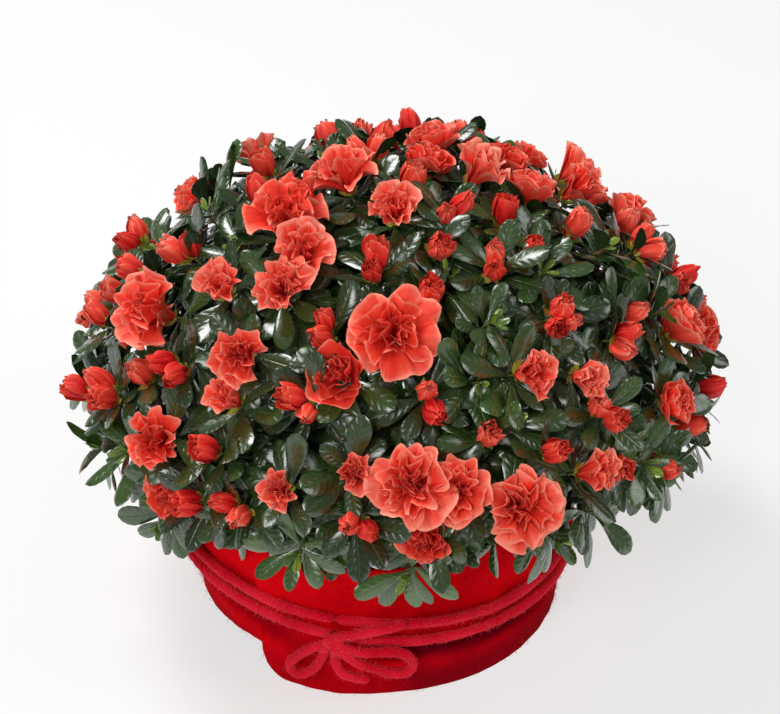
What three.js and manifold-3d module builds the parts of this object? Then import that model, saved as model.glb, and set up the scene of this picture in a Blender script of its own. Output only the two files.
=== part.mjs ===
// A potted azalea: a short trunk, thirteen boughs and fourteen masses of foliage that carry buds and
// double blooms, in a round pot of peat wrapped in felt, with a wool cord tied round it in a bow.
// Millimetres, +Z up. The origin is the centre of the pot's flat underside.

import * as THREE from "three";
import { mergeVertices } from "three/addons/utils/BufferGeometryUtils.js";
import Module from "manifold-3d";

const wasm = await Module();
wasm.setup();

const { cos, sin, atan2, hypot, min, max, PI } = Math;
const DEGREE = PI / 180;
const GOLDEN_ANGLE = 137.508 * DEGREE;
const UP = new THREE.Vector3(0, 0, 1);

// The clear gap between neighbouring solids.
const GAP = 0.3;

const POT = {
  height: 90,
  foot: 80,
  shoulder: 98.6,
  lip: 101.4,
  lipHeight: 7,
  wall: 2.4,
  floor: 3,
  edge: 1.5,
  sides: 40,
};
const PEAT = { edge: 76, rise: 4, bevel: 4 };

// The felt's outer radius at heights from hem to rim; the stretch under the cord is straight.
const WRAP = {
  hem: 0.5,
  rim: 95.5,
  thickness: 3.6,
  sides: 60,
  outline: [
    [97, 0.5],
    [98.6, 16],
    [100.6, 34],
    [100.6, 62],
    [104.5, 76],
    [108, 95.5],
  ],
  // The felt strip starts with its hem lifted off the ground and ends where it laps over that start.
  liftStart: 165 * DEGREE,
  liftEnd: 232 * DEGREE,
  lift: 17,
  rimWave: 1.4,
  rimWaves: 7,
};

// Two turns of cord: the height of each round the pot is level + tilt * cos(azimuth).
const CORD = { diameter: 5.2, ring: 103.9, sides: 8, steps: 40 };
const TURNS = {
  tie_turn_upper: { level: 54, tilt: -6.6 },
  tie_turn_lower: { level: 42.8, tilt: -7.5 },
};

// The bow. Its routes are [along the wrap to the right, height, out from the ring of the cord].
const KNOT = { azimuth: 257 * DEGREE, height: 41.5, along: 7, up: 7.5, out: 5.4, standoff: 3.3 };
const BOW = {
  bow_loop_left: [
    [-7, 38.8, 3.8],
    [-12.5, 35.2, 4.2],
    [-18.5, 29, 4.4],
    [-23, 23, 4.4],
    [-23.5, 17.5, 4.2],
    [-19, 15.3, 4.2],
    [-14, 18.5, 4.4],
    [-9, 24.5, 4.4],
    [-4.9, 34.2, 3.9],
  ],
  bow_loop_right: [
    [7.2, 40.5, 5.2],
    [14, 38.8, 5.4],
    [22, 39.3, 5.4],
    [30, 39.2, 5.2],
    [37.5, 35.6, 4.8],
    [40, 29, 4.6],
    [36.5, 23.8, 4.4],
    [29, 23.8, 4.4],
    [22, 26.6, 4.4],
    [14, 29.6, 4.3],
    [6.1, 35.2, 4],
  ],
  bow_tail_upper: [
    [4.3, 48.9, 5.6],
    [10, 51, 6.2],
    [19, 54, 6.4],
    [28, 57, 6.4],
    [36.5, 59, 5.8],
  ],
  bow_tail_lower: [
    [0.6, 33.6, 3.7],
    [1.8, 27, 4.4],
    [5.5, 22, 4.6],
    [12, 20, 4.4],
    [18.5, 19, 3.8],
  ],
};
const BOW_STEPS = { bow_loop_left: 16, bow_loop_right: 20, bow_tail_upper: 7, bow_tail_lower: 7 };

const TRUNK = {
  top: 118,
  flare: 15,
  hollow: 11.7,
  waist: 10.4,
  tip: 7.5,
  waistHeight: 87,
  lean: 0.06,
  sides: 16,
};
const BOUGH = { root: 3.3, tip: 2.5, sides: 6, steps: 4 };

// The crown is an ellipsoid of leaf tips round its centre, whose lower edge hangs lower at both sides
// than in front and behind.
const CROWN = {
  centre: new THREE.Vector3(7, 12, 124),
  spread: 182,
  depth: 165,
  rise: 140,
  drop: 84,
  lowest: -8.5 * DEGREE,
  lowestSway: -3.5 * DEGREE,
  underside: 64,
  whorls: 128,
  jitter: 3.5 * DEGREE,
};

// The rings of masses: how each mass lies from the crown's centre, where its core sits as a share of
// the crown's reach, and how its bough leaves the trunk. The one on top grows from the trunk itself.
const RINGS = [
  {
    name: "lower",
    count: 8,
    elevation: 4,
    turn: 22.5,
    core: 0.68,
    coreHeight: 42,
    bough: { height: 95, tilt: 12 * DEGREE, share: 0.46 },
  },
  {
    name: "upper",
    count: 5,
    elevation: 42,
    turn: 54,
    core: 0.64,
    coreHeight: 50,
    bough: { height: 108, tilt: 42 * DEGREE, share: 0.39 },
  },
  { name: "top", count: 1, elevation: 90, turn: 0, core: 0.636, coreHeight: 50 },
];
const CORE = { across: 56, deep: 31, margin: 1.2, clearance: 9, squareness: 3.2, drawIn: 0.04 };
const STEM = { root: 2.6, tip: 2, sides: 5 };

// How far leaves stay inside their mass's walls and off the wrap, and the shortest edge left on a mass.
const CELL_MARGIN = 0.2;
const RIM_CLEARANCE = 3;
const SHORTEST_EDGE = 0.02;

// The open blooms: [azimuth, elevation, width]. From the first one named on, every second bloom has a
// twin of its size a turn further round.
const BLOOMS = [
  [199, 64, 50],
  [165, 79, 44],
  [271, 80, 38],
  [231, 62, 40],
  [22, 70, 40],
  [202, 32, 54],
  [212, 44, 36],
  [233, 51, 36],
  [230, 36, 36],
  [270, 46, 52],
  [273, 18, 54],
  [283, 14, 42],
  [294, 9, 52],
  [219, 13, 38],
  [248, 13, 32],
  [302, 34, 34],
  [316, 29, 34],
  [309, 11, 34],
  [261, 18, 30],
  [230, 28, 30],
];
const TWINS = { turn: 168, first: 4, every: 2 };

const WHORL = {
  setBack: 18,
  setBackSpread: 4,
  lift: 0.35,
  liftBelow: 0.07,
  indent: 8,
  kept: 3,
  tilt: 64 * DEGREE,
  tiltSpread: 12 * DEGREE,
};
const LEAF = {
  length: 33,
  width: 15.5,
  thickness: 1.8,
  widest: 0.58,
  sunk: 1.4,
  below: 2.4,
  room: 11,
  smallest: 0.86,
  sizeSpread: 0.22,
};
const TWIG = { root: 2.4, tip: 2, sides: 4, depth: 42, straightness: 0.6 };
const FLOWER_BUD = { length: 21, width: 14, fullest: 0.45 };
const LEAF_BUD = { length: 9, width: 5, fullest: 0.3 };
const BLOOM = { height: 0.496, sunk: 2, notch: 0.84, ruffle: 0.09, sides: 8, foot: 3 };
// The share of the upper whorls that end in a bud.
const BUD_SHARE = 0.74;
const SEED = 0x5bd1e995;

const FINISH = {
  pot: { color: 0x5a3a2c, roughness: 0.6, metalness: 0 },
  peat: { color: 0x2a1d14, roughness: 1, metalness: 0 },
  felt: { color: 0xbb0512, roughness: 0.95, metalness: 0 },
  cord: { color: 0xd62a36, roughness: 0.95, metalness: 0 },
  bark: { color: 0x5b4634, roughness: 0.9, metalness: 0 },
  foliage: { color: 0x2f4a2b, roughness: 0.4, metalness: 0 },
};

const shrub = new THREE.Group();

// Adds a geometry to the shrub as a named mesh.
function addNode(name, geometry, finish) {
  const mesh = new THREE.Mesh(geometry, new THREE.MeshStandardMaterial(FINISH[finish]));
  mesh.name = name;
  shrub.add(mesh);
  return mesh;
}

// A repeatable number from 0 to 1 for one choice that the growth rule makes on one twig.
function chance(twig, choice) {
  let mix = Math.imul(twig + 1, 0x9e3779b1) ^ Math.imul(choice + 1, 0x85ebca6b) ^ SEED;
  mix = Math.imul(mix ^ (mix >>> 15), 0x2c1b3c6d);
  mix = Math.imul(mix ^ (mix >>> 12), 0x297a2d39);
  return ((mix ^ (mix >>> 15)) >>> 0) / 2 ** 32;
}

// The same, spread evenly from -size to size.
function spread(twig, choice, size) {
  return (2 * chance(twig, choice) - 1) * size;
}

// A geometry with position alone and its shared vertices merged.
function merged(geometry) {
  geometry.deleteAttribute("normal");
  geometry.deleteAttribute("uv");
  return mergeVertices(geometry, 1e-4);
}

// Moves every vertex of a merged geometry by a function that changes the vector it is given.
function reshape(geometry, change) {
  const position = geometry.getAttribute("position");
  const point = new THREE.Vector3();
  for (let i = 0; i < position.count; i += 1) {
    point.fromBufferAttribute(position, i);
    change(point);
    position.setXYZ(i, point.x, point.y, point.z);
  }
  return geometry;
}

// A merged geometry as a solid that can be joined.
function solidOf(geometry) {
  const mesh = new wasm.Mesh({
    numProp: 3,
    vertProperties: geometry.getAttribute("position").array,
    triVerts: new Uint32Array(geometry.index.array),
  });
  return new wasm.Manifold(mesh);
}

// A solid as a flat-shaded geometry.
function geometryOf(solid) {
  const mesh = solid.getMesh();
  const geometry = new THREE.BufferGeometry();
  geometry.setAttribute("position", new THREE.BufferAttribute(new Float32Array(mesh.vertProperties), 3));
  geometry.setIndex(new THREE.BufferAttribute(new Uint32Array(mesh.triVerts), 1));
  const flat = geometry.toNonIndexed();
  flat.computeVertexNormals();
  return flat;
}

// A round solid from a profile of [radius, height] that starts and ends on the axis or closes on itself.
function turned(profile, sides) {
  const points = profile.map(([radius, height]) => new THREE.Vector2(radius, height));
  return new THREE.LatheGeometry(points, sides).rotateX(PI / 2);
}

// A height's value on an outline of [value, height] rows.
function along(outline, height) {
  const upper = outline.findIndex(([, z]) => z >= height);
  if (upper <= 0) return outline[upper === 0 ? 0 : outline.length - 1][0];
  const [r0, z0] = outline[upper - 1];
  const [r1, z1] = outline[upper];
  return r0 + ((r1 - r0) * (height - z0)) / (z1 - z0);
}

// A point at an azimuth, a radius from the pot's axis and a height.
function around(azimuth, radius, height) {
  return new THREE.Vector3(radius * cos(azimuth), radius * sin(azimuth), height);
}

// The direction at an azimuth and an elevation.
function towards(azimuth, elevation) {
  return around(azimuth, cos(elevation), sin(elevation));
}

// A tapering round limb along a curve, flat at both ends.
function limb(curve, root, tip, sides, steps) {
  const geometry = merged(new THREE.CylinderGeometry(1, 1, 1, sides, steps));
  const start = curve.getTangent(0);
  const side = new THREE.Vector3(-start.y, start.x, 0);
  if (side.length() < 1e-3) side.set(1, 0, 0);
  side.normalize();
  return reshape(geometry, (point) => {
    const t = 0.5 - point.y;
    const tangent = curve.getTangent(t);
    const across = side.clone().addScaledVector(tangent, -side.dot(tangent)).normalize();
    const other = new THREE.Vector3().crossVectors(tangent, across);
    const radius = root + (tip - root) * t;
    const { x, z } = point;
    point.copy(curve.getPoint(t)).addScaledVector(across, x * radius).addScaledVector(other, z * radius);
  });
}

// A cord with a round section along a curve.
function cordAlong(curve, steps) {
  const section = new THREE.Shape();
  for (let i = 0; i < CORD.sides; i += 1) {
    const angle = (i / CORD.sides) * 2 * PI;
    const [x, y] = [(cos(angle) * CORD.diameter) / 2, (sin(angle) * CORD.diameter) / 2];
    if (i === 0) section.moveTo(x, y);
    else section.lineTo(x, y);
  }
  return new THREE.ExtrudeGeometry(section, { steps, extrudePath: curve, curveSegments: 1 });
}

// ---- Pot, peat and wrap ----

function makePot() {
  const { height, foot, shoulder, lip, lipHeight, wall, floor, edge, sides } = POT;
  const ledge = height - lipHeight;
  return turned(
    [
      [0, 0],
      [foot - edge, 0],
      [foot, edge],
      [shoulder, ledge],
      [lip, ledge],
      [lip, height],
      [shoulder - wall, height],
      [foot - wall, floor],
      [0, floor],
    ],
    sides,
  );
}

// The radius of the pot's inside at a height.
function potInside(height) {
  const { foot, shoulder, floor, wall } = POT;
  return foot - wall + ((shoulder - foot) * (height - floor)) / (POT.height - floor);
}

function makePeat() {
  const { edge, rise, bevel } = PEAT;
  const bottom = POT.floor + GAP;
  return turned(
    [
      [0, bottom],
      [potInside(bottom) - GAP, bottom],
      [potInside(edge) - GAP, edge],
      [potInside(edge) - bevel, edge + rise / 2],
      [0, edge + rise],
    ],
    POT.sides,
  );
}

// How far the hem is lifted at an azimuth: a long rise that ends in a step at the strip's end.
function hemLift(azimuth) {
  const { liftStart, liftEnd, lift } = WRAP;
  const turn = (azimuth + 2 * PI) % (2 * PI);
  const share = (turn - liftStart) / (liftEnd - liftStart);
  return share > 0 && share < 1 ? lift * sin((share * PI) / 2) : 0;
}

// The wrap's outer radius at an azimuth and a height, with the slight waves of its collar.
function wrapRadius(azimuth, height) {
  const { outline, rim, rimWave, rimWaves } = WRAP;
  const collar = max(0, (height - outline[3][1]) / (rim - outline[3][1]));
  return along(outline, height) + rimWave * collar * (0.5 + 0.5 * sin(rimWaves * azimuth));
}

function makeWrap() {
  const { outline, thickness, sides } = WRAP;
  const inner = outline.map(([radius, height]) => [radius - thickness, height]).reverse();
  const geometry = merged(turned([...outline, ...inner, outline[0]], sides));
  return reshape(geometry, (point) => {
    const azimuth = atan2(point.y, point.x);
    const inside = hypot(point.x, point.y) < along(outline, point.z) - thickness / 2;
    const share = 1 - min(1, (point.z - WRAP.hem) / outline[2][1]);
    const height = point.z + hemLift(azimuth) * share;
    point.copy(around(azimuth, wrapRadius(azimuth, height) - (inside ? thickness : 0), height));
  });
}

// ---- Cord and bow ----

// One turn of the cord round the wrap, from end to end with the usual gap between its ends.
class Turn extends THREE.Curve {
  constructor({ level, tilt }, gap) {
    super();
    Object.assign(this, { level, tilt, gap });
  }

  getPoint(t) {
    const half = this.gap / 2 / CORD.ring;
    const azimuth = KNOT.azimuth + half + t * (2 * PI - 2 * half);
    return around(azimuth, CORD.ring, this.level + this.tilt * cos(azimuth));
  }
}

// A route on the wrap as a smooth curve in space.
function bowCurve(route) {
  const points = route.map(([right, height, out]) =>
    around(KNOT.azimuth + right / CORD.ring, CORD.ring + out, height),
  );
  return new THREE.CatmullRomCurve3(points, false, "catmullrom", 0.5);
}

function makeKnot() {
  const { azimuth, height, along: half, up, out, standoff } = KNOT;
  const geometry = merged(new THREE.IcosahedronGeometry(1, 1));
  geometry.scale(out, half, up).rotateZ(azimuth);
  const place = around(azimuth, CORD.ring + standoff, height);
  return geometry.translate(place.x, place.y, place.z);
}

function addWrapAndCord() {
  addNode("pot", makePot(), "pot");
  addNode("peat", makePeat(), "peat");
  addNode("felt_wrap", makeWrap(), "felt");
  addNode("bow_knot", makeKnot(), "cord");
  const buttGap = { tie_turn_upper: GAP, tie_turn_lower: 2 * (KNOT.along + GAP) };
  for (const [name, turn] of Object.entries(TURNS)) {
    addNode(name, cordAlong(new Turn(turn, buttGap[name]), CORD.steps), "cord");
  }
  for (const [name, route] of Object.entries(BOW)) {
    addNode(name, cordAlong(bowCurve(route), BOW_STEPS[name]), "cord");
  }
}

// ---- Trunk and boughs ----

// The trunk's radius and the point on its axis at a height.
function trunkRadius(height) {
  const { waist, tip, waistHeight, top } = TRUNK;
  return waist + ((tip - waist) * (height - waistHeight)) / (top - waistHeight);
}

const SOIL_LEVEL = PEAT.edge + PEAT.rise + GAP;

function trunkAxis(height) {
  return new THREE.Vector3(TRUNK.lean * (height - SOIL_LEVEL), 0, height);
}

function makeTrunk() {
  const { top, flare, hollow, waist, waistHeight, tip, sides } = TRUNK;
  const profile = [
    [0, SOIL_LEVEL],
    [flare, SOIL_LEVEL],
    [hollow, (SOIL_LEVEL + waistHeight) / 2],
    [waist, waistHeight],
    [tip, top],
    [0, top],
  ];
  return reshape(merged(turned(profile, sides)), (point) => {
    point.x += trunkAxis(point.z).x;
  });
}

// ---- Masses of foliage ----

// The masses: each has its direction from the crown's centre, which sets the space it keeps to.
function listMasses() {
  const masses = [];
  for (const ring of RINGS) {
    for (let i = 0; i < ring.count; i += 1) {
      const azimuth = (ring.turn + (360 / ring.count) * i) * DEGREE;
      const direction = towards(azimuth, ring.elevation * DEGREE);
      const label = ring.count > 1 ? `${ring.name}_${i + 1}` : ring.name;
      masses.push({ ring, label, azimuth, direction, whorls: [], taken: [] });
    }
  }
  return masses;
}

// How far inside a mass's own space a point lies; its walls are the planes half way to its neighbours.
function depthInSpace(mass, point) {
  const fromCentre = point.clone().sub(CROWN.centre);
  let depth = Infinity;
  for (const wall of mass.walls) depth = min(depth, fromCentre.dot(wall));
  return depth;
}

// True where a point lies in the room of the pot and its wrap, or lower than the crown hangs.
function isBelowCrown(point, clearance) {
  const wrapped = hypot(point.x, point.y) < WRAP.outline.at(-1)[0] + WRAP.rimWave + clearance;
  return point.z < (wrapped ? WRAP.rim + clearance : CROWN.underside);
}

// How far the leaf tips reach from the crown's centre in a direction.
function reach({ x, y, z }) {
  return 1 / hypot(x / CROWN.spread, y / CROWN.depth, z / (z > 0 ? CROWN.rise : CROWN.drop));
}

// The open blooms with their twins at the back.
function listBlooms() {
  const blooms = BLOOMS.map(([azimuth, elevation, width]) => ({ azimuth, elevation, width }));
  const twins = blooms
    .filter((bloom, i) => i >= TWINS.first && i % TWINS.every === 0)
    .map(({ azimuth, elevation, width }) => ({ azimuth: azimuth + TWINS.turn, elevation, width }));
  return [...blooms, ...twins];
}

// The growth rule: whorls at even steps of the golden angle round the crown, each moved a little by
// chance, with the blooms in place of those that stand where a bloom opens.
function growWhorls() {
  const blooms = listBlooms().map((bloom, i) => ({
    twig: CROWN.whorls + i,
    kind: "bloom",
    width: bloom.width,
    azimuth: bloom.azimuth * DEGREE,
    elevation: bloom.elevation * DEGREE,
  }));
  const whorls = [...blooms];
  for (let k = 0; k < CROWN.whorls; k += 1) {
    const azimuth = k * GOLDEN_ANGLE + spread(k, 0, CROWN.jitter);
    const lowest = sin(CROWN.lowest + CROWN.lowestSway * cos(2 * azimuth));
    const sine = 1 - ((k + 0.5) / CROWN.whorls) * (1 - lowest);
    const elevation = min(PI / 2, Math.asin(sine) + spread(k, 1, CROWN.jitter));
    const direction = towards(azimuth, elevation);
    const covered = blooms.some((bloom) => {
      const middle = towards(bloom.azimuth, bloom.elevation);
      return direction.angleTo(middle) < (bloom.width / 2 + FLOWER_BUD.width / 2) / reach(middle);
    });
    const kind = elevation > 0 && chance(k, 2) < BUD_SHARE ? "bud" : "leaf";
    if (!covered) whorls.push({ twig: k, kind, azimuth, elevation });
  }
  for (const whorl of whorls) {
    whorl.direction = towards(whorl.azimuth, whorl.elevation);
    const setBack = WHORL.setBack + WHORL.setBackSpread * chance(whorl.twig, 3);
    whorl.point = CROWN.centre.clone().addScaledVector(whorl.direction, reach(whorl.direction) - setBack);
    const rise = (whorl.elevation > 0 ? WHORL.lift : WHORL.liftBelow) * cos(whorl.elevation);
    whorl.axis = whorl.direction.clone().addScaledVector(UP, rise).normalize();
  }
  return whorls;
}

// The turn that takes +Y to a direction.
function turnTo(direction) {
  return new THREE.Quaternion().setFromUnitVectors(new THREE.Vector3(0, 1, 0), direction);
}

// Puts a merged geometry that stands on the origin along +Y at a point, along a direction.
function plant(geometry, direction, point) {
  return geometry.applyQuaternion(turnTo(direction)).translate(point.x, point.y, point.z);
}

// A leaf of eight faces: a flattened octahedron from its stalk to its tip, widest past the middle.
function makeLeaf(direction, facing, point, size) {
  const { length, width, thickness, widest } = LEAF;
  const geometry = reshape(merged(new THREE.OctahedronGeometry(1)), (corner) => {
    const share = corner.y === 0 ? widest : (corner.y + 1) / 2;
    corner.set((corner.x * width) / 2, share * length, (corner.z * thickness) / 2).multiplyScalar(size);
  });
  const flat = facing.clone().addScaledVector(direction, -facing.dot(direction)).normalize();
  const across = new THREE.Vector3().crossVectors(direction, flat);
  const basis = new THREE.Matrix4().makeBasis(across, direction, flat).setPosition(point);
  return geometry.applyMatrix4(basis);
}

// A twig on four sides, from inside its mass to its whorl, that ends in the whorl's bud.
function makeTwig(whorl, bud) {
  const { root, tip, sides } = TWIG;
  const length = whorl.foot.distanceTo(whorl.point);
  const profile = [
    [0, 0],
    [root, 0],
    [tip, length],
    [bud.width / 2, length + bud.fullest * bud.length],
    [0, length + bud.length],
  ];
  const points = profile.map(([radius, along]) => new THREE.Vector2(radius, along));
  return plant(merged(new THREE.LatheGeometry(points, sides)), whorl.axis, whorl.foot);
}

// An open bloom: a shallow cup whose rim has lobes, with raised notches between them.
function makeBloom(width, direction, point) {
  const { sunk, notch, ruffle, sides, foot } = BLOOM;
  const radius = width / 2;
  const height = width * BLOOM.height;
  const geometry = reshape(merged(new THREE.CylinderGeometry(radius, foot, height, sides)), (corner) => {
    const rim = corner.y > 0 && hypot(corner.x, corner.z) > foot;
    const lobe = rim && Math.round((atan2(corner.z, corner.x) / (2 * PI)) * sides) % 2 === 0;
    corner.y += height / 2 - sunk;
    if (rim && !lobe) corner.set(corner.x * notch, corner.y + ruffle * width, corner.z * notch);
  });
  return plant(geometry, direction, point);
}

// The stem that runs from a bough's tip into its mass.
function makeStem(foot, heart) {
  const { root, tip, sides } = STEM;
  const run = heart.clone().sub(foot);
  const length = run.length();
  const geometry = merged(new THREE.CylinderGeometry(tip, root, length, sides).translate(0, length / 2, 0));
  return plant(geometry, run.normalize(), foot);
}

// The dense heart of a mass: a pillow, drawn in wherever it would cross the mass's walls.
function makeCore(mass) {
  const { across, deep, margin, clearance, squareness } = CORE;
  const { coreHeight } = mass.ring;
  const geometry = reshape(merged(new THREE.IcosahedronGeometry(1, 1)), (corner) => {
    const powers = corner.toArray().map((value) => Math.abs(value) ** squareness);
    corner.divideScalar((powers[0] + powers[1] + powers[2]) ** (1 / squareness));
  });
  geometry.scale(across, deep, coreHeight);
  plant(geometry, mass.direction, mass.heart);
  return reshape(geometry, (corner) => {
    const step = corner.clone().sub(mass.heart).multiplyScalar(-CORE.drawIn);
    while (depthInSpace(mass, corner) < margin || isBelowCrown(corner, clearance)) corner.add(step);
  });
}

// The leaves of one whorl, one to each side of its twig, that find room in their mass's space.
function listLeaves(mass, whorl) {
  const leaves = [];
  const size = LEAF.smallest + LEAF.sizeSpread * chance(whorl.twig, 4);
  const turn = turnTo(whorl.axis);
  for (let j = 0; j < TWIG.sides && leaves.length < WHORL.kept; j += 1) {
    const side = ((j + 0.5) * 2 * PI) / TWIG.sides;
    const out = new THREE.Vector3(sin(side), 0, cos(side)).applyQuaternion(turn);
    const tilt = WHORL.tilt + spread(whorl.twig, 10 + j, WHORL.tiltSpread);
    const direction = whorl.axis.clone().multiplyScalar(cos(tilt)).addScaledVector(out, sin(tilt));
    const point = whorl.point.clone().addScaledVector(whorl.axis, -LEAF.below - j);
    point.addScaledVector(direction, -LEAF.sunk);
    const leaf = makeLeaf(direction, whorl.axis, point, size);
    const middle = point.clone().addScaledVector(direction, LEAF.widest * LEAF.length * size);
    const crowded = mass.taken.some((other) => other.distanceTo(middle) < LEAF.room);
    if (!crowded && staysInside(mass, leaf, whorl.point)) {
      leaves.push(leaf);
      mass.taken.push(middle);
    }
  }
  return leaves;
}

// True where a geometry keeps to the mass's space and clear of pot and wrap. It is tried at its
// corners, and at even steps along the lines to them from the point where it grows.
function staysInside(mass, geometry, root) {
  const steps = 6;
  const position = geometry.getAttribute("position");
  const corner = new THREE.Vector3();
  const between = new THREE.Vector3();
  for (let i = 0; i < position.count; i += 1) {
    corner.fromBufferAttribute(position, i);
    if (depthInSpace(mass, corner) < CELL_MARGIN) return false;
    for (let step = 1; step <= steps; step += 1) {
      if (isBelowCrown(between.lerpVectors(root, corner, step / steps), RIM_CLEARANCE)) return false;
    }
  }
  return true;
}

// A whorl's twig with its bud, its bloom and its leaves, as geometries that keep to their mass's space.
function listWhorlPieces(mass, whorl) {
  const inner = whorl.point.clone().addScaledVector(whorl.axis, -TWIG.depth);
  whorl.foot = mass.heart.clone().lerp(inner, TWIG.straightness);
  whorl.axis = whorl.point.clone().sub(whorl.foot).normalize();
  const pieces = [makeTwig(whorl, whorl.kind === "bud" ? FLOWER_BUD : LEAF_BUD)];
  if (whorl.kind === "bloom") {
    const room = depthInSpace(mass, whorl.point) - CELL_MARGIN;
    pieces.push(makeBloom(min(whorl.width, 2 * room), whorl.axis, whorl.point));
  }
  return [...pieces, ...listLeaves(mass, whorl)].filter((piece) => staysInside(mass, piece, whorl.point));
}

// Joins pieces into one body without its shortest edges; loose scraps and sealed hollows are left out.
function joined(geometries) {
  let solid = solidOf(geometries[0]);
  for (const geometry of geometries.slice(1)) solid = solid.add(solidOf(geometry));
  const bodies = solid.decompose().sort((a, b) => b.volume() - a.volume());
  return bodies[0].simplify(SHORTEST_EDGE);
}

// The limb that carries a mass, from the trunk to where the mass begins.
function makeBough(mass) {
  const { azimuth } = mass;
  const { height, tilt, share } = mass.ring.bough;
  const shoulder = height + BOUGH.root * cos(tilt);
  const clear = trunkRadius(shoulder) + GAP + BOUGH.root * sin(tilt);
  const start = trunkAxis(shoulder).setZ(height).add(around(azimuth, clear, 0));
  const end = CROWN.centre.clone().addScaledVector(mass.direction, share * reach(mass.direction));
  const third = start.distanceTo(end) / 3;
  const leaving = start.clone().addScaledVector(towards(azimuth, tilt), third);
  const arriving = end.clone().addScaledVector(mass.direction, -third);
  const curve = new THREE.CubicBezierCurve3(start, leaving, arriving, end);
  addNode(`bough_${mass.label}`, limb(curve, BOUGH.root, BOUGH.tip, BOUGH.sides, BOUGH.steps), "bark");
  return end.clone().addScaledVector(mass.direction, GAP);
}

function makeMass(mass) {
  const coreReach = mass.ring.core * reach(mass.direction);
  mass.heart = CROWN.centre.clone().addScaledVector(mass.direction, coreReach);
  const foot = mass.ring.bough ? makeBough(mass) : trunkAxis(TRUNK.top + GAP);
  const stem = makeStem(foot, mass.heart);
  const pieces = mass.whorls.flatMap((whorl) => listWhorlPieces(mass, whorl));
  addNode(`foliage_${mass.label}`, geometryOf(joined([makeCore(mass), stem, ...pieces])), "foliage");
}

function addShrub() {
  addNode("trunk", makeTrunk(), "bark");
  const masses = listMasses();
  for (const mass of masses) {
    const others = masses.filter((other) => other !== mass);
    mass.walls = others.map((other) => mass.direction.clone().sub(other.direction).normalize());
  }
  for (const whorl of growWhorls()) {
    const nearness = masses.map((mass) => mass.direction.dot(whorl.direction));
    const mass = masses[nearness.indexOf(max(...nearness))];
    for (const wall of mass.walls) {
      const depth = whorl.point.clone().sub(CROWN.centre).dot(wall);
      whorl.point.addScaledVector(wall, max(0, WHORL.indent - depth));
    }
    mass.whorls.push(whorl);
  }
  masses.forEach(makeMass);
}

addWrapAndCord();
addShrub();

export default shrub;
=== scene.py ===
"""A florist's azalea in its pot: leaves, buds, double blooms and bark, with felt and cord."""

import logging
import math
from collections.abc import Callable, Sequence
from dataclasses import dataclass, field, fields
from enum import Enum
from functools import cached_property

import bmesh
import bpy
import numpy as np
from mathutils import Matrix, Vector, noise


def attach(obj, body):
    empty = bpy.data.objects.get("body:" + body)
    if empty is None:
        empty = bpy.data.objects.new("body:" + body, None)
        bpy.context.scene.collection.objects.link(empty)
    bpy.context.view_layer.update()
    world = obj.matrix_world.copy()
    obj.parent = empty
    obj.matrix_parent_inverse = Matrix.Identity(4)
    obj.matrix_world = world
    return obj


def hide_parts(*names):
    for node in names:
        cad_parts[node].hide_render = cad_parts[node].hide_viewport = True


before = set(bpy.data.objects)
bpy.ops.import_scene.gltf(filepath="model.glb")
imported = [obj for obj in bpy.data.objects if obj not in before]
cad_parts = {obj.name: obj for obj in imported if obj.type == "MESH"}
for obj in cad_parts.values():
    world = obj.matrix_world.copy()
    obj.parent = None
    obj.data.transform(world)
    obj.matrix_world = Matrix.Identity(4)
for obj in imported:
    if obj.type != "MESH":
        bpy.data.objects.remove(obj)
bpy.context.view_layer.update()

LOG = logging.getLogger("azalea")
MM = 0.001
ROOT = "root"
TURN = 2 * math.pi
ANY_TURN = 6.28
GOLDEN_ANGLE = math.radians(137.508)
UP = np.array([0.0, 0.0, 1.0])
TINY = 1e-6
Array = np.ndarray
Colour = tuple[float, float, float]
Point = tuple[float, float, float]
Material = bpy.types.Material
Piece = bpy.types.Object


# ---- Small helpers for points, directions and curves ----


def unit(vectors: Array) -> Array:
    """Vectors at length one, along the last axis."""
    return vectors / np.maximum(np.linalg.norm(vectors, axis=-1, keepdims=True), 1e-12)


def around(azimuth: float, radius: float, height: float) -> Array:
    """A point at an azimuth, a radius from the pot's axis and a height."""
    return np.array([radius * math.cos(azimuth), radius * math.sin(azimuth), height])


def towards(azimuth: float, elevation: float) -> Array:
    """The direction at an azimuth and an elevation."""
    return around(azimuth, math.cos(elevation), math.sin(elevation))


def off_by(azimuth: float, mark: float) -> float:
    """The turn from a mark to an azimuth, at most half a turn either way."""
    return (azimuth - mark + math.pi) % TURN - math.pi


def bearing(azimuth: float) -> float:
    """An azimuth in degrees, from 0 to 360."""
    return math.degrees(azimuth) % 360


def bump(value: float, middle: float, width: float) -> float:
    """A soft bump: 1 at its middle, and next to nothing two widths away."""
    return math.exp(-(((value - middle) / width) ** 2))


def rough(point: Array | Vector, scale: float) -> float:
    """Smooth noise from -1 to 1 at a point, one over scale across."""
    return noise.noise(Vector(tuple(point * scale)))


def spoke(first: Array, second: Array, turn: float) -> Array:
    """The direction at a turn round an axis, out of the two that are square to it."""
    return first * math.cos(turn) + second * math.sin(turn)


def columns(rows: Sequence[object]) -> dict[str, Array]:
    """The fields of rows of one kind, each field as one array."""
    return {name: np.array([getattr(row, name) for row in rows]) for name in vars(rows[0])}


def ramp(value: Array | float, low: float, high: float) -> Array:
    """A smooth rise from 0 at low to 1 at high.

    Args:
        value: Where to read the rise.
        low: Where it starts.
        high: Where it ends.

    Returns:
        The height of the rise at each value.
    """
    share = np.clip((np.asarray(value, float) - low) / (high - low), 0.0, 1.0)
    return share * share * (3 - 2 * share)


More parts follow.
